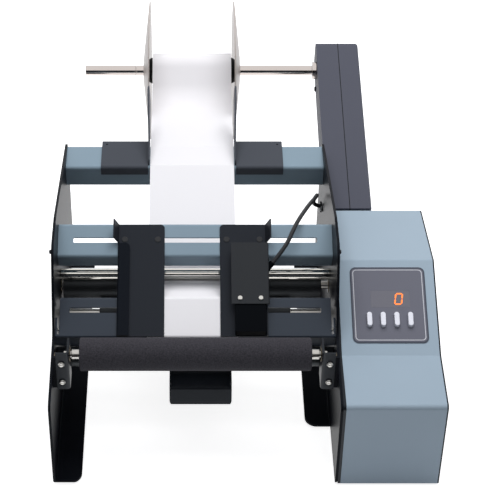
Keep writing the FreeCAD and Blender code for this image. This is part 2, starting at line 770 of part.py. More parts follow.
def round_top(shape, radius):
    """Round the edges that lie at the top of a shape."""
    top = shape.BoundBox.ZMax
    return shape.makeFillet(radius, [edge for edge in shape.Edges if edge.BoundBox.ZMin > top - 0.001])


motor_axis = (MOTOR_Y, MOTOR_Z)
chassis = moved(prism(box_outline, box_radii, on_side, V(CHASSIS_T, 0, 0)), PLATE_OUT, 0, 0)
chassis = chassis.cut(rod(PLATE_OUT - 1, BOX_LEFT + 1, DRIVE, bush_radius(DRIVE_SHAFT_R) + 1))
chassis_floor = box(BOX_LEFT, BOX_RIGHT, COVER_T, BOX_REAR_Y - COVER_T, 0, COVER_T)
end_plate = prism(box_outline, box_radii, on_side, V(END_PLATE_T, 0, 0))
keep("control_end_plate", moved(end_plate, BOX_RIGHT, 0, 0))

cover = folded_sheet(side_offset(box_outline, -COVER_T / 2), COVER_T, COVER_R, on_side, V(COVER_WIDTH, 0, 0))
cover = moved(cover, BOX_LEFT, 0, 0)

# Keypad: overlay, window, keys and the board under them, drawn on the sloping face
panel_middle = (PANEL_CENTRE_X, PANEL_START + PANEL_LENGTH / 2)
display_middle = (PANEL_CENTRE_X + DISPLAY_SHIFT_X, PANEL_START + DISPLAY_ROW)
board_top = -COVER_T - BOARD_DROP
key_places = []
for i in range(KEY_COUNT):
    key_places.append((PANEL_CENTRE_X + (i - (KEY_COUNT - 1) / 2) * KEY_PITCH, PANEL_START + KEY_ROW))

overlay = rounded_plate(panel_middle, PANEL_WIDTH, PANEL_LENGTH, PANEL_R, 0, PANEL_T)
window = rounded_plate(display_middle, DISPLAY_WIDTH, DISPLAY_LENGTH, 1.5, 0, PANEL_T)
openings = [rounded_plate(display_middle, DISPLAY_WIDTH, DISPLAY_LENGTH, 1.5, -COVER_T - 1, PANEL_T + 1)]
key_hole = KEY_WIDTH + 2 * SLIDE_CLEAR
key_flange_top = -COVER_T - SLIDE_CLEAR
key_flange_t = 1.2
for i in range(KEY_COUNT):
    place = key_places[i]
    openings.append(
        rounded_plate(place, key_hole, KEY_LENGTH + 2 * SLIDE_CLEAR, key_hole / 2, -COVER_T - 1, PANEL_T + 1)
    )
    key = rounded_plate(place, KEY_WIDTH, KEY_LENGTH, KEY_WIDTH / 2, key_flange_top, PANEL_T + KEY_PROUD)
    key = round_top(key, 1)
    flange_width = KEY_WIDTH + 3
    flange = rounded_plate(
        place, flange_width, KEY_LENGTH + 3, flange_width / 2, key_flange_top - key_flange_t, key_flange_top
    )
    stem_bottom = board_top + SWITCH_SIZE + KEY_TRAVEL + SLIDE_CLEAR / 3
    stem_top = key_flange_top - key_flange_t
    stem = Part.makeCylinder(KEY_STEM_R, stem_top - stem_bottom, V(place[0], place[1], stem_bottom))
    keep("key_%d" % (i + 1), panel(fused([key, flange, stem])))
openings = Part.makeCompound(openings)
keep("keypad_panel", panel(overlay.cut(openings)))
keep("display_window", panel(window))

board_width = PANEL_WIDTH - 2 * PANEL_MARGIN
board_length = PANEL_LENGTH - 2 * PANEL_MARGIN
posts = []
for side_x in (-1, 1):
    for side_y in (-1, 1):
        x = panel_middle[0] + side_x * (board_width / 2 - 2 * POST_R)
        y = panel_middle[1] + side_y * (board_length / 2 - 2 * POST_R)
        posts.append(Part.makeCylinder(POST_R, BOARD_DROP, V(x, y, board_top)))
board_parts = [rounded_plate(panel_middle, board_width, board_length, 2, board_top - BOARD_T, board_top)]
for x, y in key_places:
    half = SWITCH_SIZE / 2
    board_parts.append(box(x - half, x + half, y - half, y + half, board_top, board_top + SWITCH_SIZE))
board_parts.append(
    rounded_plate(display_middle, DISPLAY_WIDTH - 2, DISPLAY_LENGTH - 2, 1, board_top, -SLIDE_CLEAR)
)
keep("circuit_board", *[panel(made) for made in board_parts])

# Power inlet and rocker switch on the rear wall


def inlet_turned(radius, forward, length):
    """Cylinder on the inlet's axis, from forward of the rear wall's outer face towards the rear."""
    return Part.makeCylinder(radius, length, V(INLET_X, BOX_REAR_Y - forward, REAR_FITTING_Z), V(0, 1, 0))


inlet_cut = inlet_turned(INLET_R + SHAFT_CLEAR, 2 * COVER_T, 3 * COVER_T)
inlet = inlet_turned(INLET_R, INLET_DEPTH, INLET_DEPTH)
inlet_flange = inlet_turned(INLET_R + INLET_FLANGE, 0, COVER_T)
inlet_bore = Part.makeCylinder(
    INLET_BORE_R, INLET_DEPTH, V(INLET_X, BOX_REAR_Y - INLET_DEPTH + COVER_T + 1, REAR_FITTING_Z), V(0, 1, 0)
)
inlet_pin = Part.makeCylinder(
    INLET_PIN_R, INLET_DEPTH - 1, V(INLET_X, BOX_REAR_Y - INLET_DEPTH + 1, REAR_FITTING_Z), V(0, 1, 0)
)
keep("power_inlet", fused([fused([inlet, inlet_flange]).cut(inlet_bore), inlet_pin]))


def switch_box(width, height, front, rear):
    """Box about the switch's middle, from front to rear of the outer face of the rear wall."""
    return box(
        SWITCH_X - width / 2,
        SWITCH_X + width / 2,
        BOX_REAR_Y + front,
        BOX_REAR_Y + rear,
        REAR_FITTING_Z - height / 2,
        REAR_FITTING_Z + height / 2,
    )


switch_wall = 1.2
switch_well_width = ROCKER_WIDTH + 2 * SLIDE_CLEAR
switch_well_height = ROCKER_HEIGHT + 5 * SLIDE_CLEAR
switch_width = switch_well_width + 2 * switch_wall
switch_height = switch_well_height + 2 * switch_wall
switch_cut = switch_box(switch_width, switch_height, -2 * COVER_T, 1)
switch_frame = fused([
    switch_box(switch_well_width + 2 * ROCKER_FRAME, switch_well_height + 2 * ROCKER_FRAME, 0, COVER_T),
    switch_box(switch_width, switch_height, -ROCKER_DEPTH, 0),
])
rocker_pivot = (BOX_REAR_Y - 1, REAR_FITTING_Z)
pin_way_half = switch_well_width / 2 + switch_wall
pin_way = rod(SWITCH_X - pin_way_half, SWITCH_X + pin_way_half, rocker_pivot, ROCKER_PIN_R + SHAFT_CLEAR)
switch_well = switch_box(switch_well_width, switch_well_height, -ROCKER_DEPTH + 1.5, 3)
keep("switch_frame", switch_frame.cut(switch_well).cut(pin_way))
rocker_half = ROCKER_HEIGHT / 2
rocker_points = [
    (-6, -5),
    (0, -rocker_half),
    (4, -rocker_half),
    (2.2, 0),
    (4, rocker_half),
    (0, rocker_half),
    (-6, 5),
]
rocker = prism(rocker_points, [1, 1, 0.8, 12, 0.8, 1, 1], on_side, V(ROCKER_WIDTH, 0, 0))
rocker_pin_half = pin_way_half - SLIDE_CLEAR
rocker_pins = rod(SWITCH_X - rocker_pin_half, SWITCH_X + rocker_pin_half, (0, 0), ROCKER_PIN_R)
rocker = fused([moved(rocker, SWITCH_X - ROCKER_WIDTH / 2, 0, 0), rocker_pins])
rocker = tilted(rocker, -ROCKER_SWING / 2, *rocker_pivot)
keep("switch_rocker", rocker)
cover = cover.cut(panel(openings)).cut(inlet_cut).cut(switch_cut)
keep("control_cover", fused([cover] + [panel(post) for post in posts]))


# Motor, pulleys and belt that turn the drive roller
def pulley(centre, radius, bore_r):
    """Flat belt pulley with a flange on each side, beside the chassis."""
    left = drive_pulley_left
    right = drive_pulley_left + PULLEY_WIDTH
    rim = rod(left, right, centre, radius)
    flanges = [rod(left, left + PULLEY_FLANGE_T, centre, radius + PULLEY_FLANGE)]
    flanges.append(rod(right - PULLEY_FLANGE_T, right, centre, radius + PULLEY_FLANGE))
    made = fused([rim] + flanges)
    return made.cut(rod(left - 1, right + 1, centre, bore_r)) if bore_r > 0 else made


def belt_loop(first, first_r, second, second_r):
    """Face inside an open belt round two circles on the YZ plane."""
    heading = math.degrees(math.atan2(second[1] - first[1], second[0] - first[0]))
    opening = math.degrees(math.acos((first_r - second_r) / math.dist(first, second)))
    corners = []
    for turn in (heading + opening, heading + 180, heading - opening):
        corners.append(on_side(*polar(first, first_r, turn)))
    for turn in (heading - opening, heading, heading + opening):
        corners.append(on_side(*polar(second, second_r, turn)))
    edges = [Part.Arc(*corners[:3]).toShape(), Part.LineSegment(corners[2], corners[3]).toShape()]
    edges += [Part.Arc(*corners[3:]).toShape(), Part.LineSegment(corners[5], corners[0]).toShape()]
    return Part.Face(Part.Wire(edges))


motor_face = drive_pulley_left + PULLEY_WIDTH + PULLEY_GAP + MOTOR_BRACKET_T
motor_half = MOTOR_SIZE / 2
motor_points = [
    (MOTOR_Y - motor_half, MOTOR_Z - motor_half),
    (MOTOR_Y + motor_half, MOTOR_Z - motor_half),
    (MOTOR_Y + motor_half, MOTOR_Z + motor_half),
    (MOTOR_Y - motor_half, MOTOR_Z + motor_half),
]
motor = moved(prism(motor_points, 4, on_side, V(MOTOR_LENGTH, 0, 0)), motor_face, 0, 0)
motor_shaft_in = 8
motor_bore = rod(motor_face - 1, motor_face + motor_shaft_in, motor_axis, MOTOR_SHAFT_R + SHAFT_CLEAR)
keep("motor", motor.cut(motor_bore))
motor_shaft = rod(drive_pulley_left, motor_face + motor_shaft_in - 0.5, motor_axis, MOTOR_SHAFT_R)
keep("motor_pulley", fused([pulley(motor_axis, MOTOR_PULLEY_R, 0), motor_shaft]))
keep("drive_pulley", pulley(DRIVE, DRIVE_PULLEY_R, DRIVE_SHAFT_R))
bracket_middle = motor_face - MOTOR_BRACKET_T / 2
bracket_low = COVER_T + MOTOR_BRACKET_T / 2
motor_bracket = folded_sheet(
    [
        (bracket_middle, MOTOR_Z + motor_half),
        (bracket_middle, bracket_low),
        (motor_face + 0.7 * MOTOR_LENGTH, bracket_low),
    ],
    MOTOR_BRACKET_T,
    BEND_R,
    on_front,
    V(0, MOTOR_SIZE, 0),
)
motor_bracket = moved(motor_bracket, 0, MOTOR_Y - motor_half, 0)
motor_window = rod(motor_face - 9, motor_face + 1, motor_axis, MOTOR_PULLEY_R + PULLEY_FLANGE)
motor_bracket = motor_bracket.cut(motor_window)
keep("control_chassis", fused([chassis, chassis_floor, motor_bracket]))
belt_left = drive_pulley_left + (PULLEY_WIDTH - BELT_WIDTH) / 2
inner_loop = belt_loop(DRIVE, DRIVE_PULLEY_R + SLIDE_CLEAR, motor_axis, MOTOR_PULLEY_R + SLIDE_CLEAR)
outer_r = SLIDE_CLEAR + BELT_T
outer_loop = belt_loop(DRIVE, DRIVE_PULLEY_R + outer_r, motor_axis, MOTOR_PULLEY_R + outer_r)
belt = outer_loop.extrude(V(BELT_WIDTH, 0, 0)).cut(inner_loop.extrude(V(BELT_WIDTH, 0, 0)))
keep("drive_belt", moved(belt, belt_left, 0, 0))


# Arm: two half shells that open towards each other, tilted up to the rear
def arm(shape):
    return tilted(shape, ARM_ANGLE, ARM_Y, ARM_Z)


def arm_block(inset, x0, x1):
    """Block of the arm's outline, smaller by inset all round, drawn level."""
    corners = [
        (inset, -inset),
        (inset, -ARM_HEIGHT + inset),
        (ARM_LENGTH - inset, -ARM_HEIGHT + inset),
        (ARM_LENGTH - inset, -inset),
    ]
    radii = [1, 1, ARM_CORNER_R - inset, ARM_CORNER_R - inset]
    return moved(prism(corners, radii, on_side, V(x1 - x0, 0, 0)), x0, 0, 0)


arm_seam = PLATE_OUT + ARM_INNER_WIDTH
arm_right = arm_seam + ARM_OUTER_WIDTH
arm_inner = arm_block(0, PLATE_OUT, arm_seam)
arm_inner = arm(arm_inner.cut(arm_block(ARM_WALL, PLATE_OUT + ARM_WALL, arm_seam + 1)))
arm_outer = arm_block(0, arm_seam, arm_right)
rim = [edge for edge in arm_outer.Edges if edge.BoundBox.XMin > arm_right - 0.001]
arm_outer = arm_outer.makeFillet(ARM_EDGE_R, rim)
arm_outer = arm(arm_outer.cut(arm_block(ARM_WALL, arm_seam - 1, arm_right - ARM_WALL)))

spindle_boss_r = SPINDLE_R + SHAFT_CLEAR + BOSS_WALL
spindle_boss_end = arm_seam - BOSS_END_GAP
seam_screw_place = (SPINDLE_Y - SEAM_SCREW_AHEAD, SPINDLE_Z - SEAM_SCREW_BELOW)
cable_heading = (CABLE_ROUTE[-1] - CABLE_ROUTE[-2]).normalize()
cable_way = Part.makeCylinder(GROMMET_R, CABLE_CUT, CABLE_ROUTE[-2], cable_heading)
arm_holes = [rod(PLATE_OUT - 1, spindle_boss_end + 1, SPINDLE, SPINDLE_R + SHAFT_CLEAR), cable_way]
post = rod(PLATE_OUT + ARM_WALL, arm_right - ARM_WALL / 2, seam_screw_place, 5)
post = post.cut(rod(PLATE_OUT, arm_seam, seam_screw_place, SHANK_R + SHAFT_CLEAR))
for place in ARM_SCREWS + [seam_screw_place]:
    arm_holes.append(rod(PLATE_OUT - PLATE_T - 1, PLATE_OUT + ARM_WALL + 1, place, SHANK_R + SCREW_CLEAR))
arm_holes = Part.makeCompound(arm_holes)
spindle_boss = rod(PLATE_OUT + ARM_WALL / 2, spindle_boss_end, SPINDLE, spindle_boss_r)
keep("arm_inner_half", fused([arm_inner, spindle_boss]).cut(arm_holes))
keep("arm_outer_half", fused([arm_outer, post]))
keep("right_side_plate", NODES["right_side_plate"].cut(arm_holes))
for place in ARM_SCREWS:
    pan_screws.append(screw(V(HALF, *place), V(-1, 0, 0), PAN_R, PAN_H, PLATE_T + ARM_WALL + 4, 1))
pan_screws.append(screw(V(PLATE_OUT, *seam_screw_place), V(-1, 0, 0), PAN_R, PAN_H, SEAM_SCREW_LENGTH, 1))
keep("pan_screws", *pan_screws)

# Spindle with a collar on each side of the arm's boss
collar = rod(PLATE_OUT - SLIDE_CLEAR - COLLAR_T, PLATE_OUT - SLIDE_CLEAR, SPINDLE, COLLAR_R)
inner_collar = moved(collar, spindle_boss_end - PLATE_OUT + COLLAR_T + 2 * SLIDE_CLEAR, 0, 0)
spindle = rod(-SPINDLE_LEFT, spindle_boss_end + SLIDE_CLEAR + COLLAR_T, SPINDLE, SPINDLE_R)
spindle = spindle.makeFillet(1, [min(spindle.Edges, key=lambda edge: edge.BoundBox.XMax)])
groove_left = SPINDLE_FREE - SPINDLE_LEFT
groove = tube(groove_left, groove_left + GROOVE_WIDTH, SPINDLE, SPINDLE_R + 1, SPINDLE_R - GROOVE_DEPTH)
keep("spindle", fused([spindle, collar, inner_collar]).cut(groove))


# Roll of labels between two dished discs
def turned(corners, radii):
    """Solid of revolution about the spindle; corners are pairs of X and radius."""
    def on_disc(x, radius):
        return V(x, SPINDLE_Y, SPINDLE_Z + radius)

    face = Part.Face(outline_wire(corners, radii, on_disc))
    return face.revolve(V(0, SPINDLE_Y, SPINDLE_Z), V(1, 0, 0), 360)


roll_left = STRIP_CENTRE_X - STRIP_WIDTH / 2
roll_right = STRIP_CENTRE_X + STRIP_WIDTH / 2
core_inner = HUB_R + HUB_CLEAR
core_outer = core_inner + CORE_T
keep("label_core", tube(roll_left, roll_right, SPINDLE, core_outer, core_inner))
keep("label_roll", tube(roll_left, roll_right, SPINDLE, ROLL_R, core_outer))

disc_line = [
    (0, DISC_R),
    (DISC_RIM, DISC_R - 1.3 * DISC_RIM),
    (DISC_RIM + DISC_DISH, DISC_FLAT_R),
    (DISC_RIM + DISC_DISH, DISC_BORE_R),
]
disc = turned(*sheet_outline(disc_line, DISC_T, 1))
hub_inner = DISC_RIM + DISC_DISH - DISC_T / 2
hub_outer = hub_inner + DISC_T
hub_corners = [
    (-HUB_PLUG, SPINDLE_R + SHAFT_CLEAR),
    (-HUB_PLUG, HUB_R),
    (0, HUB_R),
    (HUB_DOME / 2, 0.9 * HUB_R),
    (HUB_DOME, HUB_NECK_R),
    (hub_inner, HUB_NECK_R),
    (hub_inner, DISC_BORE_R - SHAFT_CLEAR),
    (hub_outer, DISC_BORE_R - SHAFT_CLEAR),
    (hub_outer, SPINDLE_R + SHAFT_CLEAR),
]
hub = turned(hub_corners, [0, 1.5, 6, 6, 0.5, 0, 0, 0, 0])
keep("disc_right", moved(disc, roll_right + DISC_GAP, 0, 0))
keep("hub_right", moved(hub, roll_right + DISC_GAP, 0, 0))
keep("disc_left", moved(mirrored(disc), roll_left - DISC_GAP, 0, 0))
keep("hub_left", moved(mirrored(hub), roll_left - DISC_GAP, 0, 0))


# Label strip from the roll over the bars to the peel edge and back to the rollers
def tangent(first, second):
    """Start point and heading of the line that passes two circles, given as centre and radius.

    A radius is positive when the line leaves the centre on its right, negative on its left.
    """
    distance = math.dist(first[0], second[0])
    heading = math.atan2(second[0][1] - first[0][1], second[0][0] - first[0][0])
    heading -= math.asin((first[1] - second[1]) / distance)
    return polar(first[0], first[1], math.degrees(heading) + 90), heading


def meeting(first, second):
    """Where two lines cross, each given as a point and a heading."""
    (y0, z0), a = first
    (y1, z1), b = second
    run = ((y1 - y0) * math.sin(b) - (z1 - z0) * math.cos(b)) / math.sin(b - a)
    return y0 + run * math.cos(a), z0 + run * math.sin(a)


off_sheet = SHEET_CLEAR + STRIP_T / 2
fold_r = BEND_R + SHEET_T
peel_r = BEND_R / 4 + SHEET_T
strip_start = polar(SPINDLE, ROLL_R + off_sheet, STRIP_LEAVE_ANGLE)
strip_heading = math.radians(STRIP_LEAVE_ANGLE + 90)
sag_run = (STRIP_SAG_Z - strip_start[1]) / math.sin(strip_heading)
strip_sag = (strip_start[0] + sag_run * math.cos(strip_heading), STRIP_SAG_Z)
nip = polar(PINCH, PINCH_R + off_sheet, PINCH_ANGLE)
strip_end = polar(nip, LINER_TAIL, PINCH_ANGLE - 90)
bar_fold_z = REAR_BAR_TOP - fold_r
strip_path = [
    (strip_start, 0, 0),
    (strip_sag, 0, STRIP_SAG_R),
    ((REAR_BAR_Y + REAR_BAR_DEPTH - fold_r, bar_fold_z), -fold_r - off_sheet, fold_r + off_sheet),
    ((REAR_BAR_Y + fold_r, bar_fold_z), -fold_r - off_sheet, fold_r + off_sheet),
    (GUIDE_ROD, GUIDE_ROD_R + off_sheet, GUIDE_ROD_R + off_sheet),
    (deck_point(PEEL_DEPTH - fold_r, -fold_r), -fold_r - off_sheet, fold_r + off_sheet),
    (deck_point(peel_r, -peel_r), -peel_r - off_sheet, peel_r + off_sheet),
    (deck_point(SHEET_T / 2, -BAR_HEIGHT), -SHEET_T / 2 - off_sheet, SHEET_T / 2 + off_sheet),
    (PINCH, PINCH_R + off_sheet, PINCH_R + off_sheet),
    (strip_end, 0, 0),
]
strip_lines = [tangent(strip_path[i][:2], strip_path[i + 1][:2]) for i in range(len(strip_path) - 1)]
strip_points = [strip_start]
for i in range(1, len(strip_lines)):
    strip_points.append(meeting(strip_lines[i - 1], strip_lines[i]))
strip_points.append(strip_end)
strip_bends = [made[2] - STRIP_T / 2 for made in strip_path[1:-1]]
strip = folded_sheet(strip_points, STRIP_T, strip_bends, on_side, V(STRIP_WIDTH, 0, 0))
keep("label_strip", moved(strip, roll_left, 0, 0))


# Strip guides that slide along the rear crossbar
def strip_guide(inner):
    """Cap over the bar with an ear beside the strip; inner is the X of the ear's face, on the right."""
    cap_z = REAR_BAR_TOP + SLIDE_CLEAR + CAP_T / 2
    cap_low = cap_z + CAP_T / 2 - CAP_SKIRT
    front = REAR_BAR_Y - SLIDE_CLEAR - CAP_T / 2
    rear = REAR_BAR_Y + REAR_BAR_DEPTH + CAP_REAR_GAP + CAP_T / 2
    cap_line = [(front, cap_low), (front, cap_z), (rear, cap_z), (rear, cap_low)]
    cap = folded_sheet(cap_line, CAP_T, BEND_R, on_side, V(CAP_LENGTH, 0, 0))
    hole_place = V(CAP_LENGTH - CAP_HOLE_IN, rear - CAP_HOLE_IN - CAP_T, cap_z - CAP_T)
    cap = cap.cut(Part.makeCylinder(CAP_HOLE_R, 2 * CAP_T, hole_place))
    ear_x = inner + EAR_T / 2
    ear_low = cap_low - 2
    ear_top = cap_z + EAR_RISE
    ear_rear = REAR_BAR_Y + REAR_BAR_DEPTH + EAR_REACH
    ear_line = [(ear_x, ear_low - 1), (ear_x, ear_top - EAR_TOP), (ear_x + EAR_FLARE, ear_top + 1)]
    ear = folded_sheet(ear_line, EAR_T, EAR_TOP, on_front, V(0, ear_rear + 1, 0))
    ear_outline = [
        (REAR_BAR_Y + 4, cap_z - CAP_T / 2),
        (REAR_BAR_Y + 4, cap_z + 6),
        (ear_rear - EAR_TOP, ear_top),
        (ear_rear, ear_top),
        (ear_rear, ear_top - 0.8 * EAR_TOP),
        (rear - 4, ear_low),
        (REAR_BAR_Y + REAR_BAR_DEPTH + SLIDE_CLEAR, ear_low),
        (REAR_BAR_Y + REAR_BAR_DEPTH + SLIDE_CLEAR, cap_z - CAP_T / 2),
    ]
    ear_radii = [0, 5, EAR_BEND_R, EAR_TOP_R, EAR_REAR_R, 3, 0, 0]
    mask = prism(ear_outline, ear_radii, on_side, V(inner + 4 * EAR_T, 0, 0))
    return fused([moved(cap, inner + EAR_T, 0, 0), ear.common(mask)])


keep("strip_guide_right", strip_guide(roll_right + EAR_GAP))
keep("strip_guide_left", mirrored(strip_guide(EAR_GAP - roll_left)))


# Pouch guides on the deck, drawn as right ones with the inner edge at X zero
guide_bottom = STRIP_GAP
guide_top = guide_bottom + GUIDE_T


def corner_cutter(x, y, radius):
    """Cutter that rounds the rear inner corner of a flat sheet at x, y."""
    square = box(x - 1, x + radius, y - radius, y + 1, guide_bottom - 1, guide_bottom + GUIDE_WALL + 1)
    return square.cut(Part.makeCylinder(radius, GUIDE_WALL + 4, V(x + radius, y - radius, guide_bottom - 2)))


def pouch_guide(with_lip):
    middle = guide_bottom + GUIDE_T / 2
    wall_x = GUIDE_WIDTH - GUIDE_T / 2
    wall_top = guide_bottom + GUIDE_WALL
    line = [(0, middle), (wall_x, middle), (wall_x, wall_top)]
    if with_lip:
        lip_z = wall_top - GUIDE_T / 2
        line = line[:2] + [(wall_x, lip_z), (GUIDE_WIDTH - LIP_WIDTH, lip_z)]
    front = folded_sheet(line, GUIDE_T, GUIDE_BEND_R, on_front, V(0, LIP_LENGTH, 0))
    if with_lip:
        lip_cutter = corner_cutter(GUIDE_WIDTH - LIP_WIDTH, LIP_LENGTH, LIP_CORNER_R)
        front = front.cut(lip_cutter.common(box(0, GUIDE_WIDTH, 0, LIP_LENGTH + 2, guide_top, wall_top + 1)))
    flare_start = GUIDE_LENGTH - FLARE_LENGTH
    middle_plate = box(0, GUIDE_WIDTH - 3 * GUIDE_T, LIP_LENGTH, flare_start, guide_bottom, guide_top)
    lean = math.tan(math.radians(FLARE_ANGLE)) * FLARE_HEIGHT
    flare_line = [(0, middle), (wall_x, middle), (wall_x + lean, middle + FLARE_HEIGHT)]
    flare = folded_sheet(flare_line, GUIDE_T, GUIDE_BEND_R, on_front, V(0, FLARE_LENGTH, 0))
    flare = moved(flare, 0, flare_start, 0)
    holes = [corner_cutter(0, GUIDE_LENGTH, LIP_CORNER_R)]
    for x in (GUIDE_SCREW_IN, GUIDE_WIDTH - GUIDE_SCREW_IN):
        low = V(x, SLOTTED_SLOT, guide_bottom - 1)
        holes.append(Part.makeCylinder(SHANK_R + SCREW_CLEAR, GUIDE_T + 2, low))
    return fused([front, middle_plate, flare]).cut(Part.makeCompound(holes))


nut_top = SLOTTED_BAR_RISE - SHEET_T - SLIDE_CLEAR
nut_low = nut_top - CLAMP_NUT_T
clamps = []
for x in (GUIDE_SCREW_IN, GUIDE_WIDTH - GUIDE_SCREW_IN):
    length = guide_top - nut_low + 1
    seat = V(x, SLOTTED_SLOT, guide_top)
    clamps.append(screw(seat, V(0, 0, 1), PAN_R, CLAMP_HEAD_H, length, CLAMP_HEAD_H / 2))
    half = CLAMP_NUT / 2
    nut = box(x - half, x + half, SLOTTED_SLOT - half, SLOTTED_SLOT + half, nut_low, nut_top)
    nut_bore = Part.makeCylinder(SHANK_R + SHAFT_CLEAR, CLAMP_NUT_T + 2, V(x, SLOTTED_SLOT, nut_low - 1))
    clamps.append(nut.cut(nut_bore))


def right_guide(shape):
    return deck(moved(shape, RIGHT_GUIDE_X, 0, 0))


def left_guide(shape):
    return deck(moved(mirrored(shape), LEFT_GUIDE_X, 0, 0))


gland_heading = (CABLE_ROUTE[1] - CABLE_ROUTE[0]).normalize()
gland_start = CABLE_ROUTE[0] - gland_heading * GLAND_LENGTH
gland = Part.makeCylinder(GLAND_R, GLAND_LENGTH, gland_start, gland_heading)
gland_way = Part.makeCylinder(GLAND_R + SLIDE_CLEAR, GLAND_LENGTH, gland_start, gland_heading)
keep("pouch_guide_left", left_guide(pouch_guide(True)))
keep("pouch_guide_right", right_guide(pouch_guide(False)).cut(gland_way))
keep("guide_clamps_left", *[left_guide(made) for made in clamps])
keep("guide_clamps_right", *[right_guide(made) for made in clamps])

# Sensor block on the right guide, with a folded cover
sensor_right = GUIDE_WIDTH - GUIDE_T - GUIDE_BEND_R
sensor_start = SENSOR_COVER_END - SENSOR_COVER_LAP / 2 - SENSOR_LENGTH
sensor_middle = ((SENSOR_INSET + sensor_right) / 2, sensor_start + SENSOR_LENGTH / 2)
sensor_top = guide_top + SENSOR_HEIGHT
body = rounded_plate(sensor_middle, sensor_right - SENSOR_INSET, SENSOR_LENGTH, 1.5, guide_top, sensor_top)
cover_start = SENSOR_COVER_END - SENSOR_COVER_LENGTH
cover_z = sensor_top + SENSOR_COVER_T / 2
cover_edge = sensor_right + SENSOR_COVER_LAP - SENSOR_COVER_T / 2
cover_line = [
    (SENSOR_INSET - SENSOR_COVER_LAP, cover_z),
    (cover_edge, cover_z),
    (cover_edge, cover_z - SENSOR_COVER_LIP),
]
sensor_cover = folded_sheet(cover_line, SENSOR_COVER_T, 0.8, on_front, V(0, SENSOR_COVER_LENGTH, 0))
sensor_cover = moved(sensor_cover, 0, cover_start, 0)
sensor_screws = []
for side in (-1, 1):
    screw_x = sensor_middle[0] + side * SENSOR_SCREW_PITCH / 2
    seat = V(screw_x, cover_start + SENSOR_SCREW_IN, sensor_top + SENSOR_COVER_T)
    sensor_screws.append(right_guide(screw(seat, V(0, 0, 1), SENSOR_SCREW_R, 1.6, SENSOR_COVER_T + 6, 0.8)))
    sensor_cover = sensor_cover.cut(Part.makeCylinder(SHANK_R + SCREW_CLEAR, 4, seat - V(0, 0, 3)))
    body = body.cut(Part.makeCylinder(SHANK_R + SHAFT_CLEAR, SENSOR_HOLE, seat - V(0, 0, SENSOR_HOLE)))
seat_start = CABLE_ROUTE[0] - gland_heading * GLAND_GRIP
cable_seat = Part.makeCylinder(CABLE_R + SHAFT_CLEAR, GLAND_GRIP + 2, seat_start, gland_heading)
keep("sensor_body", fused([right_guide(body), gland]).cut(cable_seat))
keep("sensor_cover", right_guide(sensor_cover))
keep("sensor_screws", *sensor_screws)

# Sensor cable, and the grommet that leads it through the plate into the arm
cable_points = [CABLE_ROUTE[0] - gland_heading * GLAND_GRIP] + CABLE_ROUTE[1:]
cable_edges = []
last_end = cable_points[0]
for i in range(1, len(cable_points) - 1):
    before, corner, after = cable_points[i - 1:i + 2]
    into = (corner - before).normalize()
    out = (after - corner).normalize()
    turn = into.getAngle(out)
    run = 0.45 * min((corner - before).Length, (after - corner).Length)
    radius = run / math.tan(turn / 2)
    inward = (out - into).normalize()
    middle = corner + inward * (radius / math.cos(turn / 2) - radius)
    cable_edges.append(Part.LineSegment(last_end, corner - into * run).toShape())
    cable_edges.append(Part.Arc(corner - into * run, middle, corner + out * run).toShape())
    last_end = corner + out * run
    print("sensor cable: bend of %.1f mm radius, turn %.0f degrees" % (radius, math.degrees(turn)))
cable_edges.append(Part.LineSegment(last_end, cable_points[-1]).toShape())
cable_line = Part.Wire(cable_edges)
cable_end = Part.Wire(Part.makeCircle(CABLE_R, cable_points[0], gland_heading))
cable = cable_line.makePipeShell([cable_end], True, True)
print("sensor cable: length %.1f mm" % cable_line.Length)
keep("sensor_cable", cable)

plate_way = CABLE_ROUTE[-2] + cable_heading * ((HALF - CABLE_ROUTE[-2].x) / cable_heading.x)
flange_middle = (plate_way.y, plate_way.z)
grommet = cable_way.common(rod(HALF, PLATE_OUT + ARM_WALL, flange_middle, 3 * GROMMET_R))
grommet = fused([grommet, rod(HALF - GROMMET_FLANGE, HALF, flange_middle, GROMMET_R + GROMMET_FLANGE)])
cable_bore = Part.makeCylinder(CABLE_R + SHAFT_CLEAR, CABLE_CUT, CABLE_ROUTE[-2], cable_heading)
keep("cable_grommet", grommet.cut(cable_bore))


# Origin on the table under the middle of the whole
whole = Part.makeCompound(list(NODES.values())).optimalBoundingBox()
shift = V(-(whole.XMin + whole.XMax) / 2, -(whole.YMin + whole.YMax) / 2, -whole.ZMin)
for name, shape in NODES.items():
    placed = shape.copy()
    placed.translate(shift)
    placed.exportStep("parts/" + name + ".step")
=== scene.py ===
import json
import math

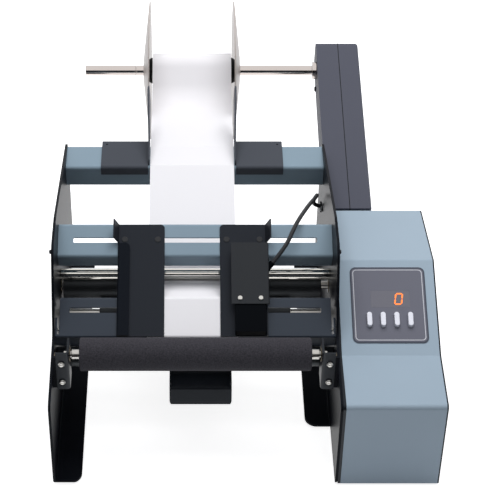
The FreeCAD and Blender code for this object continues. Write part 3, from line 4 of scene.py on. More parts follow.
import bmesh
import bpy
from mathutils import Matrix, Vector

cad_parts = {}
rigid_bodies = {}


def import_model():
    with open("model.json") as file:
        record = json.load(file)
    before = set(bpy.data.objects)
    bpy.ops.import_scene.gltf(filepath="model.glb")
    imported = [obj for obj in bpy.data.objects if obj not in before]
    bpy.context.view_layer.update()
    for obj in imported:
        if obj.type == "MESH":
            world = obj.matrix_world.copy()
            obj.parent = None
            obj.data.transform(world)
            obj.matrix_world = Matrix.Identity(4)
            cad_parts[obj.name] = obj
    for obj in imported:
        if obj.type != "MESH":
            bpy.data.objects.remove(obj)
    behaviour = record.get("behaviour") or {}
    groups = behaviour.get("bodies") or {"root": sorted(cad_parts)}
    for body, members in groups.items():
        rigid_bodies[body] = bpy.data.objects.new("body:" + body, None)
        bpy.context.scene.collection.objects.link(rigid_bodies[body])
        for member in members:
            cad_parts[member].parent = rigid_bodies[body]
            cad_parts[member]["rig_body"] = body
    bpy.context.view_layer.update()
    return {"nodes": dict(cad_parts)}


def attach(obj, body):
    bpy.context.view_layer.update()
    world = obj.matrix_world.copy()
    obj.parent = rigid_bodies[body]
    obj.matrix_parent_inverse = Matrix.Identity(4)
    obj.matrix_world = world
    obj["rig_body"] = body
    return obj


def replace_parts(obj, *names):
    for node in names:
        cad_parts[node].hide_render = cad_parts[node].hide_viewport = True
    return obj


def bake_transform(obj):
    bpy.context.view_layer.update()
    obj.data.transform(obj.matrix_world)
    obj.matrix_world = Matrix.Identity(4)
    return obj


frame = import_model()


# The view: a long lens in front of the label strip, shifted to the right to take in the control box.
# Places are given in millimetres from the drawing's zero, which is midway between the side plates at
# their front edge, under the foot flanges.
def spot(x, y, z):
    return Vector((x - 55.85, y - 341.5785, z + 3.0)) / 1000


def placed(name, data):
    """New object in the scene that shows the data."""
    made = bpy.data.objects.new(name, data)
    bpy.context.scene.collection.objects.link(made)
    return made


looking_down = 41
camera = placed("view", bpy.data.cameras.new("view"))
camera.location = spot(-8.5, -1356, 1538)
camera.rotation_euler = (math.radians(90 - looking_down), 0, 0)
camera.data.sensor_width = 36
camera.data.lens = 126
camera.data.shift_x = 0.124
camera.data.clip_end = 50
bpy.context.scene.camera = camera
bpy.context.scene.view_settings.view_transform = "Standard"


# Sensor cable: a limp round cable with a matt jacket, from the gland on the sensor over the slotted bar and
# down to the grommet in the right plate.
def new_material(name):
    made = bpy.data.materials.new(name)
    made.use_nodes = True
    return made, made.node_tree.nodes, made.node_tree.links, made.node_tree.nodes["Principled BSDF"]


def noise(nodes, links, scale, detail, stretch=(1, 1, 1)):
    """Noise on the piece's own coordinates, in features per metre, times stretch along each axis."""
    place = nodes.new("ShaderNodeTexCoord")
    mapping = nodes.new("ShaderNodeMapping")
    mapping.inputs["Scale"].default_value = stretch
    made = nodes.new("ShaderNodeTexNoise")
    made.inputs["Scale"].default_value = scale
    made.inputs["Detail"].default_value = detail
    links.new(place.outputs["Object"], mapping.inputs["Vector"])
    links.new(mapping.outputs["Vector"], made.inputs["Vector"])
    return made.outputs["Fac"]


def grained(
    name, colour, rough, metallic=0.0, grain=1400, relief=0.08, tone=0.05, swing=0.05, stretch=(1, 1, 1),
    gloss=0.5, flecked=False,
):
    """Finish whose colour, roughness and height vary finely over the surface.

    grain is the fine noise's features per metre and relief its height. The colour varies by the share
    tone, in clouds or, where it is flecked, with the grain. The roughness varies by swing.
    """
    cloud_scale, cloud_detail, grain_detail = 16, 5, 3
    bump_height = 0.0004
    cool_glint = (0.86, 0.93, 1, 1)
    made, nodes, links, shader = new_material(name)
    cloud = noise(nodes, links, cloud_scale, cloud_detail)
    fine = noise(nodes, links, grain, grain_detail, stretch)
    mix = nodes.new("ShaderNodeMix")
    mix.data_type = "RGBA"
    mix.inputs["A"].default_value = [c * (1 - tone) for c in colour] + [1]
    mix.inputs["B"].default_value = [c * (1 + tone) for c in colour] + [1]
    links.new(fine if flecked else cloud, mix.inputs["Factor"])
    links.new(mix.outputs["Result"], shader.inputs["Base Color"])
    spread = nodes.new("ShaderNodeMapRange")
    spread.inputs["To Min"].default_value = rough - swing
    spread.inputs["To Max"].default_value = rough + swing
    links.new(fine, spread.inputs["Value"])
    links.new(spread.outputs["Result"], shader.inputs["Roughness"])
    bump = nodes.new("ShaderNodeBump")
    bump.inputs["Strength"].default_value = relief
    bump.inputs["Distance"].default_value = bump_height
    links.new(fine, bump.inputs["Height"])
    links.new(bump.outputs["Normal"], shader.inputs["Normal"])
    shader.inputs["Metallic"].default_value = metallic
    shader.inputs["Specular IOR Level"].default_value = gloss
    shader.inputs["Specular Tint"].default_value = cool_glint
    return made


def mesh_now(made):
    """Mesh of an object as its curve settings or modifiers make it now."""
    bpy.context.view_layer.update()
    return bpy.data.meshes.new_from_object(made.evaluated_get(bpy.context.evaluated_depsgraph_get()))


cable_jacket = grained("cable_jacket", (0.03, 0.03, 0.032), 0.5, grain=2500, relief=0.15, gloss=0.3)
cable_route = [
    (87.1, 175.5, 182.2), (106, 190, 198), (118, 218, 210), (136, 264, 201), (150, 314, 174),
    (153, 343, 153), (150, 361, 128), (154, 371, 112), (170, 372, 108),
]
cable_curve = bpy.data.curves.new("cable", "CURVE")
cable_curve.dimensions = "3D"
cable_line = cable_curve.splines.new("NURBS")
cable_line.points.add(len(cable_route) - 1)
for point, place in zip(cable_line.points, cable_route):
    point.co = (*spot(*place), 1)
cable_line.order_u = 3
cable_line.use_endpoint_u = True
cable_line.resolution_u = 16
cable_curve.materials.append(cable_jacket)
cable_way = placed("cable_way", cable_curve)
cable_centre = [vertex.co.copy() for vertex in mesh_now(cable_way).vertices]
cable_curve.bevel_depth = 0.0025
cable_curve.bevel_resolution = 5
cable_curve.use_fill_caps = True
cable = placed("cable", mesh_now(cable_way))
bpy.data.objects.remove(cable_way)
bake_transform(cable)
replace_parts(cable, "sensor_cable")


# Table top: a wide matt white surface that keeps the machine's soft shadow and is white elsewhere.
# Its own light only meets the camera and clear reflections, so it throws none on the machine.
def white_where_seen(nodes, links, strength):
    """Strength, as a socket, of light that only the camera and clear reflections meet."""
    path = nodes.new("ShaderNodeLightPath")
    seen = path.outputs["Is Camera Ray"]
    for other in ("Is Glossy Ray", "Is Transmission Ray"):
        add = nodes.new("ShaderNodeMath")
        add.operation = "MAXIMUM"
        links.new(seen, add.inputs[0])
        links.new(path.outputs[other], add.inputs[1])
        seen = add.outputs["Value"]
    scaled = nodes.new("ShaderNodeMath")
    scaled.operation = "MULTIPLY"
    scaled.inputs[1].default_value = strength
    links.new(seen, scaled.inputs[0])
    return scaled.outputs["Value"]


table_mesh = bpy.data.meshes.new("table_top")
table_mesh.from_pydata([(-6, -4, 0), (6, -4, 0), (6, 8, 0), (-6, 8, 0)], [], [(0, 1, 2, 3)])
table_white, nodes, links, shader = new_material("table_white")
shader.inputs["Base Color"].default_value = (0.82, 0.82, 0.83, 1)
shader.inputs["Roughness"].default_value = 0.9
shader.inputs["Specular IOR Level"].default_value = 0.1
shader.inputs["Emission Color"].default_value = (1, 1, 1, 1)
links.new(white_where_seen(nodes, links, 0.82), shader.inputs["Emission Strength"])
table_mesh.materials.append(table_white)
placed("table_top", table_mesh)

# Surround and lamps: a plain white room that lights the machine weakly from all sides, one large
# soft lamp over the machine, and a faint one in front of it. The lamps leave no spot in the chrome.
world = bpy.data.worlds.new("surround")
bpy.context.scene.world = world
world.use_nodes = True
nodes, links = world.node_tree.nodes, world.node_tree.links
lamp_side = nodes["Background"]
lamp_side.inputs["Color"].default_value = (0.95, 0.97, 1, 1)
lamp_side.inputs["Strength"].default_value = 0.28
seen_side = nodes.new("ShaderNodeBackground")
seen_side.inputs["Color"].default_value = (1, 1, 1, 1)
seen_side.inputs["Strength"].default_value = 1
either_side = nodes.new("ShaderNodeMixShader")
links.new(white_where_seen(nodes, links, 1), either_side.inputs["Fac"])
links.new(lamp_side.outputs["Background"], either_side.inputs[1])
links.new(seen_side.outputs["Background"], either_side.inputs[2])
links.new(either_side.outputs["Shader"], nodes["World Output"].inputs["Surface"])
lamps_aim = Vector((0, 0, 0.1))
for name, place, size, watts in (
    ("top_lamp", (0.1, 0.5, 2.05), 1.7, 43),
    ("front_lamp", (-0.2, -1.2, 1.5), 0.8, 1.2),
):
    lamp = placed(name, bpy.data.lights.new(name, "AREA"))
    lamp.data.size = size
    lamp.data.energy = watts
    lamp.visible_glossy = False
    lamp.location = place
    lamp.rotation_euler = (lamps_aim - Vector(place)).to_track_quat("-Z", "Y").to_euler()

# Black card in front of the machine, bent up from the table. It shows in reflections only, where it
# draws the dark line in the chrome, and it casts no shadow.
card_half = 1.6
card_bends = ((-0.6, 0.002), (-1.5, 0.002), (-1.5, 1.55))
card_mesh = bpy.data.meshes.new("black_card")
card_points = [(x, y, z) for y, z in card_bends for x in (-card_half, card_half)]
card_mesh.from_pydata(card_points, [], [(0, 1, 3, 2), (2, 3, 5, 4)])
card_mesh.materials.append(grained("card_black", (0.012, 0.012, 0.013), 0.9, gloss=0.1))
black_card = placed("black_card", card_mesh)
black_card.visible_camera = False
black_card.visible_diffuse = False
black_card.visible_shadow = False


# Side plates: thick folded sheet with a foot flange, coated in smooth black. The coat softens the cut
# edges, which catch a thin line of light. Bars, rollers and rod are held between the two.
def add_piece(name, mesh, finish, body):
    made = placed(name, mesh)
    made.data.materials.clear()
    made.data.materials.append(finish)
    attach(made, body)
    return made


def mesh_from(work, name, sharp=None):
    """Mesh of what was built, shaded smooth but for edges that turn by more than sharp degrees."""
    mesh = bpy.data.meshes.new(name)
    work.to_mesh(mesh)
    work.free()
    if sharp:
        mesh.shade_smooth()
        mesh.set_sharp_from_angle(angle=math.radians(sharp))
    return mesh


def softened(node, finish, width, corner=28):
    """Copy of a drawn piece, in place of it, with its edges rounded by width, in millimetres.

    Only edges that turn by more than corner degrees are rounded.
    """
    same_point, same_plane = 1e-6, math.radians(0.3)
    work = bmesh.new()
    work.from_mesh(frame["nodes"][node].data)
    bmesh.ops.remove_doubles(work, verts=work.verts, dist=same_point)
    bmesh.ops.dissolve_limit(work, angle_limit=same_plane, verts=work.verts, edges=work.edges)
    edges = [e for e in work.edges if len(e.link_faces) == 2 and e.calc_face_angle() > math.radians(corner)]
    bmesh.ops.bevel(
        work, geom=edges, offset=width / 1000, segments=2, profile=0.5, affect="EDGES", clamp_overlap=True
    )
    mesh = mesh_from(work, node + "_finished", sharp=50)
    made = add_piece(node + "_finished", mesh, finish, frame["nodes"][node]["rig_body"])
    keep_flat = made.modifiers.new("flat faces", "WEIGHTED_NORMAL")
    keep_flat.keep_sharp = True
    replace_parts(made, node)
    return made


plate_coat = grained(
    "smooth_black_coat", (0.006, 0.007, 0.01), 0.36, grain=900, relief=0.01, tone=0.08, gloss=0.05
)
for node in ("left_side_plate", "right_side_plate"):
    softened(node, plate_coat, 0.5)

# Foot pads: six soft black rubber discs with a slight taper, stuck under the foot flanges and under
# the floor of the control box.
soft_rubber = grained("soft_rubber", (0.012, 0.012, 0.013), 0.7, grain=700, relief=0.2, gloss=0.3)
softened("rubber_feet", soft_rubber, 0.5)

# Crossbars: folded sheet channels with a tab at each end, coated blue-grey and screwed to both plates.
# The slotted one carries the pouch guides and the rear one the strip guides.
blue_coat = grained(
    "blue_grey_coat", (0.22, 0.295, 0.358), 0.5, grain=1500, relief=0.1, tone=0.03, gloss=0.35
)
for node in ("rear_crossbar", "slotted_crossbar"):
    softened(node, blue_coat, 0.4)

# Peel channel: a folded channel between the plates, coated blue-black. The labels come off over its
# sharp front edge.
peel_coat = grained(
    "blue_black_coat", (0.021, 0.027, 0.039), 0.42, grain=1600, relief=0.08, tone=0.06, gloss=0.42
)
softened("peel_channel", peel_coat, 0.35)

# Lower tie and tray: black coated sheet. The tie holds the plates apart low down, and the tray hangs
# from its front by two screws.
black_coat = grained(
    "black_powder_coat", (0.008, 0.0095, 0.013), 0.38, grain=1600, relief=0.1, tone=0.08, gloss=0.26
)
for node in ("lower_tie", "lower_tray"):
    softened(node, black_coat, 0.35)

# Guide rod: a bright chromed bar from plate to plate, under the slotted bar. The label strip runs
# beneath it.
chrome = grained(
    "bright_chrome", (0.86, 0.84, 0.78), 0.1, metallic=1.0, grain=500, relief=0.0, tone=0.02, swing=0.02
)
softened("guide_rod", chrome, 0.4, 60)

# Roller sleeves: black rubber on three of the rollers, and thick closed-cell foam with a flecked skin
# on the front one, which presses the label on the pouch.
roller_rubber = grained("roller_rubber", (0.013, 0.0135, 0.015), 0.45, grain=900, relief=0.08, gloss=0.6)
for node in ("drive_roller_sleeve", "pinch_roller_sleeve", "feed_roller_sleeve"):
    softened(node, roller_rubber, 0.6, 60)
foam = grained(
    "closed_cell_foam", (0.039, 0.037, 0.044), 0.85, grain=620, relief=0.9, tone=0.9, gloss=0.3, flecked=True
)
softened("foam_roller_sleeve", foam, 1.6, 60)

# Roller cores: bright steel shafts, which run in bushes in the side plates or, in front, in the two
# brackets. Fine marks run along them, as on drawn bar.
turned_steel = grained(
    "turned_steel", (0.6, 0.58, 0.55), 0.3, metallic=1.0, grain=900, relief=0.03, tone=0.04,
    stretch=(1, 12, 12),
)
for node in ("drive_roller_shaft", "pinch_roller_shaft", "feed_roller_shaft", "foam_roller_shaft"):
    softened(node, turned_steel, 0.3, 60)

# Bushes: flanged rings of sintered bronze, pressed into plates and brackets, in which the cores of
# the rollers run.
bronze = grained("sintered_bronze", (0.22, 0.19, 0.15), 0.45, metallic=1.0, grain=2600, relief=0.1)
softened("shaft_bushes", bronze, 0.15, 60)

# Roller brackets: small black coated angles at the front of the plates that hold the foam roller,
# with two screws each.
for node in ("roller_bracket_left", "roller_bracket_right"):
    softened(node, black_coat, 0.3)


# Screws: steel heads, zinc-plated with a slot on the brackets, black with a hexagon recess on tray and
# arm. Each kind is turned and cut once and set at its seats by a node tree.
def skin(work, loops):
    """Faces between each loop of points and the next."""
    for lower, upper in zip(loops, loops[1:]):
        for i in range(len(lower)):
            j = (i + 1) % len(lower)
            work.faces.new((lower[i], lower[j], upper[j], upper[i]))


def turned_screw(name, radius, height, crown, recess, depth, sides=6):
    """Screw head on Z zero with a recess in its top, and the start of its shank. Two sides make a slot."""
    around, crown_steps = 24, 4
    shank, shank_length = 2.0, 5.0
    slot_half, least_turn, rim = 0.22, 0.01, 1.12
    rings = [(shank, -shank_length), (shank, 0), (radius, 0), (radius, height - crown)]
    for i in range(1, crown_steps + 1):
        angle = i * math.pi / 2 / crown_steps
        rings.append((radius - crown + crown * math.cos(angle), height - crown + crown * math.sin(angle)))
    rings.append((recess * rim, height))
    work = bmesh.new()
    turns = [i * math.tau / around for i in range(around)]
    loops = []
    for r, z in rings:
        loops.append([work.verts.new((r * math.cos(turn), r * math.sin(turn), z)) for turn in turns])
    for z in (height, height - depth):
        loop = []
        for turn in turns:
            if sides == 2:
                flat = min(1, slot_half / max(abs(math.sin(turn)), least_turn))
            else:
                flat = math.cos(math.pi / sides) / math.cos(turn % (math.tau / sides) - math.pi / sides)
            loop.append(work.verts.new((recess * flat * math.cos(turn), recess * flat * math.sin(turn), z)))
        loops.append(loop)
    skin(work, loops)
    work.faces.new(loops[-1])
    work.faces.new(loops[0][::-1])
    bmesh.ops.scale(work, verts=work.verts, vec=(0.001, 0.001, 0.001))
    bmesh.ops.recalc_face_normals(work, faces=work.faces)
    return mesh_from(work, name, sharp=40)


def set_at_seats(name, shape, seats, finish, body):
    """Copies of a shape, one at each seat, which is a point and the way out of the surface."""
    pattern = placed(name + "_pattern", shape)
    mesh = bpy.data.meshes.new(name)
    mesh.from_pydata([place for place, out in seats], [], [])
    ways = mesh.attributes.new("way_out", "FLOAT_VECTOR", "POINT")
    for way, (place, out) in zip(ways.data, seats):
        way.vector = out
    made = placed(name, mesh)
    tree = bpy.data.node_groups.new(name + "_seats", "GeometryNodeTree")
    tree.interface.new_socket("Geometry", in_out="INPUT", socket_type="NodeSocketGeometry")
    shape_input = tree.interface.new_socket("Shape", in_out="INPUT", socket_type="NodeSocketObject")
    finish_input = tree.interface.new_socket("Finish", in_out="INPUT", socket_type="NodeSocketMaterial")
    tree.interface.new_socket("Geometry", in_out="OUTPUT", socket_type="NodeSocketGeometry")
    start = tree.nodes.new("NodeGroupInput")
    end = tree.nodes.new("NodeGroupOutput")
    info = tree.nodes.new("GeometryNodeObjectInfo")
    way_out = tree.nodes.new("GeometryNodeInputNamedAttribute")
    way_out.data_type = "FLOAT_VECTOR"
    way_out.inputs["Name"].default_value = "way_out"
    align = tree.nodes.new("FunctionNodeAlignRotationToVector")
    align.axis = "Z"
    copies = tree.nodes.new("GeometryNodeInstanceOnPoints")
    real = tree.nodes.new("GeometryNodeRealizeInstances")
    paint = tree.nodes.new("GeometryNodeSetMaterial")
    join = tree.links.new
    join(start.outputs["Geometry"], copies.inputs["Points"])
    join(start.outputs["Shape"], info.inputs["Object"])
    join(info.outputs["Geometry"], copies.inputs["Instance"])
    join(way_out.outputs["Attribute"], align.inputs["Vector"])
    join(align.outputs["Rotation"], copies.inputs["Rotation"])
    join(copies.outputs["Instances"], real.inputs["Geometry"])
    join(real.outputs["Geometry"], paint.inputs["Geometry"])
    join(start.outputs["Finish"], paint.inputs["Material"])
    join(paint.outputs["Geometry"], end.inputs["Geometry"])
    modifier = made.modifiers.new("seats", "NODES")
    modifier.node_group = tree
    modifier[shape_input.identifier] = pattern
    modifier[finish_input.identifier] = finish
    plain = mesh_now(made)
    made.modifiers.remove(modifier)
    made.data = plain
    plain.name = name
    bpy.data.objects.remove(pattern)
    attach(made, body)
    return made


zinc = grained("zinc_plate", (0.66, 0.65, 0.62), 0.28, metallic=1.0, grain=1500, relief=0.04)
black_oxide = grained("black_oxide", (0.03, 0.03, 0.032), 0.38, metallic=0.6, grain=1500, relief=0.06)
pan_screw = turned_screw("pan_screw", radius=3.6, height=2.4, crown=1.0, recess=1.6, depth=1.5)
slotted_screw = turned_screw(
    "slotted_screw", radius=3.6, height=2.4, crown=1.2, recess=2.9, depth=1.2, sides=2
)
bracket_seats = [(spot(side * 151.25, 47, z), (0, -1, 0)) for side in (-1, 1) for z in (120, 148)]
bracket_screws = set_at_seats("bracket_screws", slotted_screw, bracket_seats, zinc, "frame")
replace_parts(bracket_screws, "pan_screws")
tray_seats = [(spot(x, 101, 97.5), (0, -1, 0)) for x in (-11.95, 24.35)]
arm_places = [(162, 350, 124), (162, 402, 136), (165, 578, 146)]
arm_seats = [(spot(*place), (-1, 0, 0)) for place in arm_places]
set_at_seats("dark_screws", pan_screw, tray_seats + arm_seats, black_oxide, "frame")

# Flush screws and side knobs: zinc-plated screws hold the bars and the rod from outside the plates,
# and a small black knob clamps each end of the slotted bar.
flush_places = [(382.15, 161), (402.85, 161), (118.482, 133.546), (112, 97.5), (213, 136)]
flush_seats = []
knob_seats = []
for side in (-1, 1):
    for y, z in flush_places:
        flush_seats.append((spot(side * 163.2, y, z), (side, 0, 0)))
    knob_seats.append((spot(side * 165, 206.183, 177.09), (side, 0, 0)))
flush_screw = turned_screw("flush_screw", radius=4.5, height=1.8, crown=0.4, recess=2.0, depth=1.2)
flush_screws = set_at_seats("flush_screws", flush_screw, flush_seats, zinc, "frame")
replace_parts(flush_screws, "frame_screws")
side_knob = turned_screw("side_knob", radius=2.6, height=8.0, crown=1.2, recess=1.2, depth=0.8)
set_at_seats("side_knobs", side_knob, knob_seats, black_oxide, "frame")

# Control box: a folded cover of sheet, coated light blue-grey, between a black chassis wall and a
# black end plate that shows as a thin dark line along its right edge.
softened("control_chassis", black_coat, 0.4)
softened("control_end_plate", black_coat, 0.4)
box_coat = grained(
    "light_blue_grey_coat", (0.318, 0.4, 0.48), 0.46, grain=1500, relief=0.1, tone=0.03, gloss=0.4
)
softened("control_cover", box_coat, 0.25)


# Keypad panel: a printed dark grey overlay stuck on the sloping face of the box, with a pale printed border
# line, a dark line round its edge that is painted shadow of the overlay's edge, and a smoked window flush
# with it.
def on_panel(x, along, off):
    """Place on the sloping face, by the way up the slope and the height off it."""
    face_y, face_z = 82, 127
    slope = math.atan2(43, 118)
    y = face_y + along * math.cos(slope) - off * math.sin(slope)
    return spot(x, y, face_z + along * math.sin(slope) + off * math.cos(slope))


def rounded_loop(width, length, radius):
    """Points of a rectangle with round corners, about the panel's middle."""
    middle_x, middle_along = 226, 65.5
    steps = 6
    points = []
    for corner, (sx, sy) in enumerate(((1, 1), (-1, 1), (-1, -1), (1, -1))):
        for i in range(steps + 1):
            turn = (corner + i / steps) * math.pi / 2
            px = middle_x + sx * (width / 2 - radius) + radius * math.cos(turn)
            points.append((px, middle_along + sy * (length / 2 - radius) + radius * math.sin(turn)))
    return points


def panel_line(name, outer, inner, finish):
    """Line between two loops, just proud of the overlay, for the printed border and for the painted shadow
    along the overlay's edge.
    """
    off, thickness = 0.8, 0.1
    work = bmesh.new()
    skin(work, [[work.verts.new(on_panel(px, py, off)) for px, py in loop] for loop in (outer, inner)])
    thick = bmesh.ops.extrude_face_region(work, geom=work.faces[:])
    lift = on_panel(0, 0, thickness) - on_panel(0, 0, 0)
    bmesh.ops.translate(work, vec=lift, verts=[v for v in thick["geom"] if isinstance(v, bmesh.types.BMVert)])
    bmesh.ops.recalc_face_normals(work, faces=work.faces)
    return add_piece(name, mesh_from(work, name), finish, "frame")


overlay = grained(
    "panel_overlay", (0.135, 0.137, 0.17), 0.5, grain=3000, relief=0.05, tone=0.02, gloss=0.35
)
softened("keypad_panel", overlay, 0.15)
smoked = grained("smoked_window", (0.127, 0.124, 0.15), 0.3, grain=300, relief=0.0, tone=0.02)
softened("display_window", smoked, 0.1)
pale_ink = grained("pale_ink", (0.62, 0.63, 0.68), 0.5, grain=3000, relief=0.03)
# The dark finish here is painted shadow along the overlay's edge; the pale one above is printed.
edge_painted_shadow = grained("edge_painted_shadow", (0.05, 0.055, 0.075), 0.5, grain=3000, relief=0.03)
border_outside, border_inside = rounded_loop(81.6, 92.6, 4.4), rounded_loop(80.0, 91.0, 3.8)
panel_line("border_line", border_outside, border_inside, pale_ink)
# Dark band round the overlay's edge: painted shadow of that edge.
edge_outside, edge_inside = rounded_loop(88, 99, 7), rounded_loop(84.6, 95.6, 5.4)
panel_line("edge_line", edge_outside, edge_inside, edge_painted_shadow)

# Display digit: one glowing orange digit of six lit bars that lean slightly to the right, drawn as
# thin plates on the window.
digit_glow, nodes, links, shader = new_material("orange_digit")
shader.inputs["Base Color"].default_value = (0.9, 0.2, 0.03, 1)
shader.inputs["Emission Color"].default_value = (1.0, 0.19, 0.035, 1)
shader.inputs["Emission Strength"].default_value = 1.1
digit_x, digit_along, digit_lean = 237.7, 73, 0.14
digit_bottom, digit_top = 0.8, 0.95
half_w, half_h, bar_half, bar_gap = 3.9, 6.9, 0.85, 0.35
bars = [((-half_w, half_h), (half_w, half_h)), ((-half_w, -half_h), (half_w, -half_h))]
for x in (-half_w, half_w):
    bars += [((x, 0), (x, half_h)), ((x, -half_h), (x, 0))]
work = bmesh.new()
for start, end in bars:
    a, b = Vector(start), Vector(end)
    way = (b - a).normalized()
    point = way * bar_half
    across = Vector((-way.y, way.x)) * bar_half
    a, b = a + way * bar_gap, b - way * bar_gap
    outline = [a, a + point - across, b - point - across, b, b - point + across, a + point + across]
    rows = []
    for off in (digit_bottom, digit_top):
        row = []
        for p in outline:
            row.append(work.verts.new(on_panel(digit_x + p.x + digit_lean * p.y, digit_along + p.y, off)))
        rows.append(row)
    work.faces.new(rows[1])
    work.faces.new(rows[0][::-1])
    skin(work, rows)
bmesh.ops.recalc_face_normals(work, faces=work.faces)
digit_mesh = mesh_from(work, "display_digit")
add_piece("display_digit", digit_mesh, digit_glow, "frame")

# Keys: four moulded white caps with round ends that stand through the panel, side by side below the
# digit. Each presses in by itself.
white_key = grained("white_key", (0.79, 0.80, 0.88), 0.3, grain=800, relief=0.02, tone=0.02)
for i in range(1, 5):
    softened("key_%d" % i, white_key, 0.2, 60)

# Circuit board: a green board with its parts, inside the box under the panel. It is hidden while the
# cover is on.
board_green = grained("circuit_board", (0.04, 0.16, 0.08), 0.45, grain=900, relief=0.1)
softened("circuit_board", board_green, 0.1)

# Drive: a motor in a black case, two turned metal pulleys and a rubber belt, which turn the drive
# roller. All of it is inside the control box.
motor_black = grained("motor_case", (0.05, 0.05, 0.052), 0.4, metallic=0.5, grain=1200, relief=0.06)
pulley_metal = grained(
    "pulley_metal", (0.66, 0.67, 0.68), 0.32, metallic=1.0, grain=900, relief=0.03, stretch=(1, 10, 10)
)
softened("motor", motor_black, 0.6)
for node in ("motor_pulley", "drive_pulley"):
    softened(node, pulley_metal, 0.2, 60)
softened("drive_belt", roller_rubber, 0.2, 60)

# Power inlet and rocker switch: black moulded plastic, snapped into the rear wall of the box. The
# rocker tilts on a pin in its frame.
moulded_black = grained("moulded_black", (0.008, 0.008, 0.009), 0.45, grain=1800, relief=0.12, gloss=0.25)
for node in ("power_inlet", "switch_frame", "switch_rocker"):
    softened(node, moulded_black, 0.3, 40)

# Arm: two moulded halves of dark grey plastic with a fine texture, screwed together and to the right plate. A
# thin dark strip of soft black rubber set in the seam where they meet is painted shade for the groove between
# the halves.
arm_grey = grained("textured_grey", (0.074, 0.077, 0.1), 0.6, grain=2200, relief=0.14, tone=0.03, gloss=0.3)
for node in ("arm_inner_half", "arm_outer_half"):
    softened(node, arm_grey, 0.6)
arm_turn = math.radians(10.2)
arm_y, arm_z, arm_length, arm_height = 332, 139.5, 300, 48
# Dark strip in the seam, a little proud and sunk 1 mm: painted shade of the groove between the two halves.
seam_x, seam_half = 194.4, 0.5
proud, sunk = -0.12, 1.0
arm_corners = ((arm_length, 0, 12), (0, 0, 1), (0, -arm_height, 1), (arm_length, -arm_height, 12))
corner_steps = 8
seam_loops = []
for inset in (proud, sunk):
    loop = []
    for corner, (along, high, arm_radius) in enumerate(arm_corners):
        radius = arm_radius - inset
        side = 1 if corner in (0, 3) else -1
        level = 1 if corner in (0, 1) else -1
        middle = (along - side * (radius + inset), high - level * (radius + inset))
        for i in range(corner_steps + 1):
            turn = (corner + i / corner_steps) * math.pi / 2
            a, h = middle[0] + radius * math.cos(turn), middle[1] + radius * math.sin(turn)
            y = arm_y + a * math.cos(arm_turn) - h * math.sin(arm_turn)
            loop.append((y, arm_z + a * math.sin(arm_turn) + h * math.cos(arm_turn)))
    seam_loops.append(loop)
work = bmesh.new()
rings = []
for x, loop in ((-seam_half, 0), (seam_half, 0), (seam_half, 1), (-seam_half, 1)):
    rings.append([work.verts.new(spot(seam_x + x, *point)) for point in seam_loops[loop]])
skin(work, rings + rings[:1])
bmesh.ops.recalc_face_normals(work, faces=work.faces)
add_piece("arm_seam", mesh_from(work, "arm_seam"), soft_rubber, "frame")

# Spindle: a drawn steel bar with a faint warm cast, with a collar on each side of the arm's boss, in
# which it turns.
spindle_steel = grained(
    "drawn_steel", (0.65, 0.59, 0.56), 0.12, metallic=1.0, grain=700, relief=0.0, tone=0.05, swing=0.02,
    stretch=(1, 14, 14),
)
softened("spindle", spindle_steel, 0.3, 60)


# Discs and hubs: thin dished plates with a warm satin coat, on black moulded hubs that plug into the
# roll's core and slide on the spindle.
def turned_on_spindle(node, outline, x, way, finish):
    """Piece turned round the spindle, its outline given as place along and radius, in place of a node."""
    around = 96
    spindle_y, spindle_z = 590, 168
    turns = [i * math.tau / around for i in range(around)]
    work = bmesh.new()
    loops = []
    for along, radius in outline:
        loop = []
        for turn in turns:
            y, z = spindle_y + radius * math.cos(turn), spindle_z + radius * math.sin(turn)
            loop.append(work.verts.new(spot(x + way * along, y, z)))
        loops.append(loop)
    skin(work, loops + loops[:1])
    bmesh.ops.recalc_face_normals(work, faces=work.faces)
    mesh = mesh_from(work, node + "_finished", sharp=35)
    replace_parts(add_piece(node + "_finished", mesh, finish, frame["nodes"][node]["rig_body"]), node)


disc_coat = grained("warm_satin", (0.43, 0.38, 0.35), 0.4, metallic=0.2, grain=900, relief=0.05, tone=0.05)
disc_outline = [
    (1.9, 92.7), (1.8, 92.3), (9.9, 18.4), (9.9, 9.5), (11.2, 9.5), (11.2, 17.6), (3.2, 92.3), (3.0, 92.7),
]
hub_outline = [
    (-22, 7.15), (-22, 17.2), (0.5, 17.2), (2.4, 16.4), (4.2, 14.7), (5.8, 12.2), (7.0, 10.2), (8.2, 9.3),
    (11.2, 9.3), (11.2, 7.15),
]
for side, x, way in (("left", -57.0, -1), ("right", 50.4, 1)):
    turned_on_spindle("disc_" + side, disc_outline, x, way, disc_coat)
    turned_on_spindle("hub_" + side, hub_outline, x, way, moulded_black)

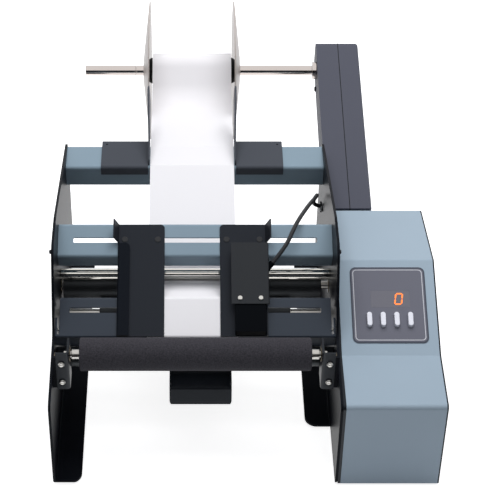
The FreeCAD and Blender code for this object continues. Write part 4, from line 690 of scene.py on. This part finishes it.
# Label roll and strip: white paper labels on a white liner, wound on a grey card core. The strip runs
# from the roll over the rear bar and under the guide rod to the peel edge, and back below it.
card = grained("grey_card", (0.42, 0.36, 0.29), 0.85, grain=1800, relief=0.3, tone=0.1)
paper = grained("label_paper", (0.84, 0.83, 0.86), 0.6, grain=2400, relief=0.04, tone=0.012)
softened("label_core", card, 0.2, 60)
softened("label_roll", paper, 0.2, 60)
softened("label_strip", paper, 0.08, 60)

# Strip guides: folded sheet caps with a satin black coat that slide on the rear bar, each with an ear
# beside the strip.
cap_coat = grained(
    "satin_black_coat", (0.063, 0.069, 0.083), 0.42, grain=1600, relief=0.1, tone=0.06, gloss=0.08
)
for node in ("strip_guide_left", "strip_guide_right"):
    softened(node, cap_coat, 0.35)

# Pouch guides: folded sheet with a dull black coat, one each side of the strip. The left one has a wall along
# its outer edge with a lip folded over the sheet. Wall and lip take a darker, duller copy of the same coat,
# which is painted shade where they look darker than the sheet.
guide_coat = grained(
    "dull_black_coat", (0.009, 0.0105, 0.015), 0.45, grain=1600, relief=0.08, tone=0.08, gloss=0.24
)
# Darker, duller copy of the dull black coat: painted shade on the left guide's wall and lip.
painted_shade_lip = grained("painted_shade_lip", (0.006, 0.0075, 0.011), 0.6, grain=1600, relief=0.08, tone=0.08, gloss=0.08)
softened("pouch_guide_right", guide_coat, 0.3)
left_guide = softened("pouch_guide_left", guide_coat, 0.3)
left_guide.data.materials.append(painted_shade_lip)
# Faces of the wall and lip take the second slot, the copy of the coat that holds the painted shade.
painted_shade_slot = 1
lip_corner = spot(-76, 205, 0)
for face in left_guide.data.polygons:
    if face.center.x < lip_corner.x and face.center.y < lip_corner.y:
        face.material_index = painted_shade_slot

# Guide clamps: black oxidised screws and nuts, two to a guide, that clamp it through the long slot of
# the bar.
softened("guide_clamps_left", black_oxide, 0.2, 40)
softened("guide_clamps_right", black_oxide, 0.2, 40)

# Sensor: a dull black block on the right guide, under a folded cover of coated sheet that two bright
# screws hold.
sensor_black = grained("sensor_black", (0.003, 0.0036, 0.0048), 0.6, grain=1500, relief=0.06, gloss=0.03)
cover_coat = grained(
    "cover_coat", (0.0155, 0.0165, 0.019), 0.38, grain=1600, relief=0.1, tone=0.08, gloss=0.26
)
softened("sensor_body", sensor_black, 0.3, 40)
softened("sensor_cover", cover_coat, 0.25)
softened("sensor_screws", zinc, 0.15, 40)

# Cable grommet: a soft rubber ring in the right plate, through which the sensor's cable goes into the
# arm.
softened("cable_grommet", soft_rubber, 0.2, 40)
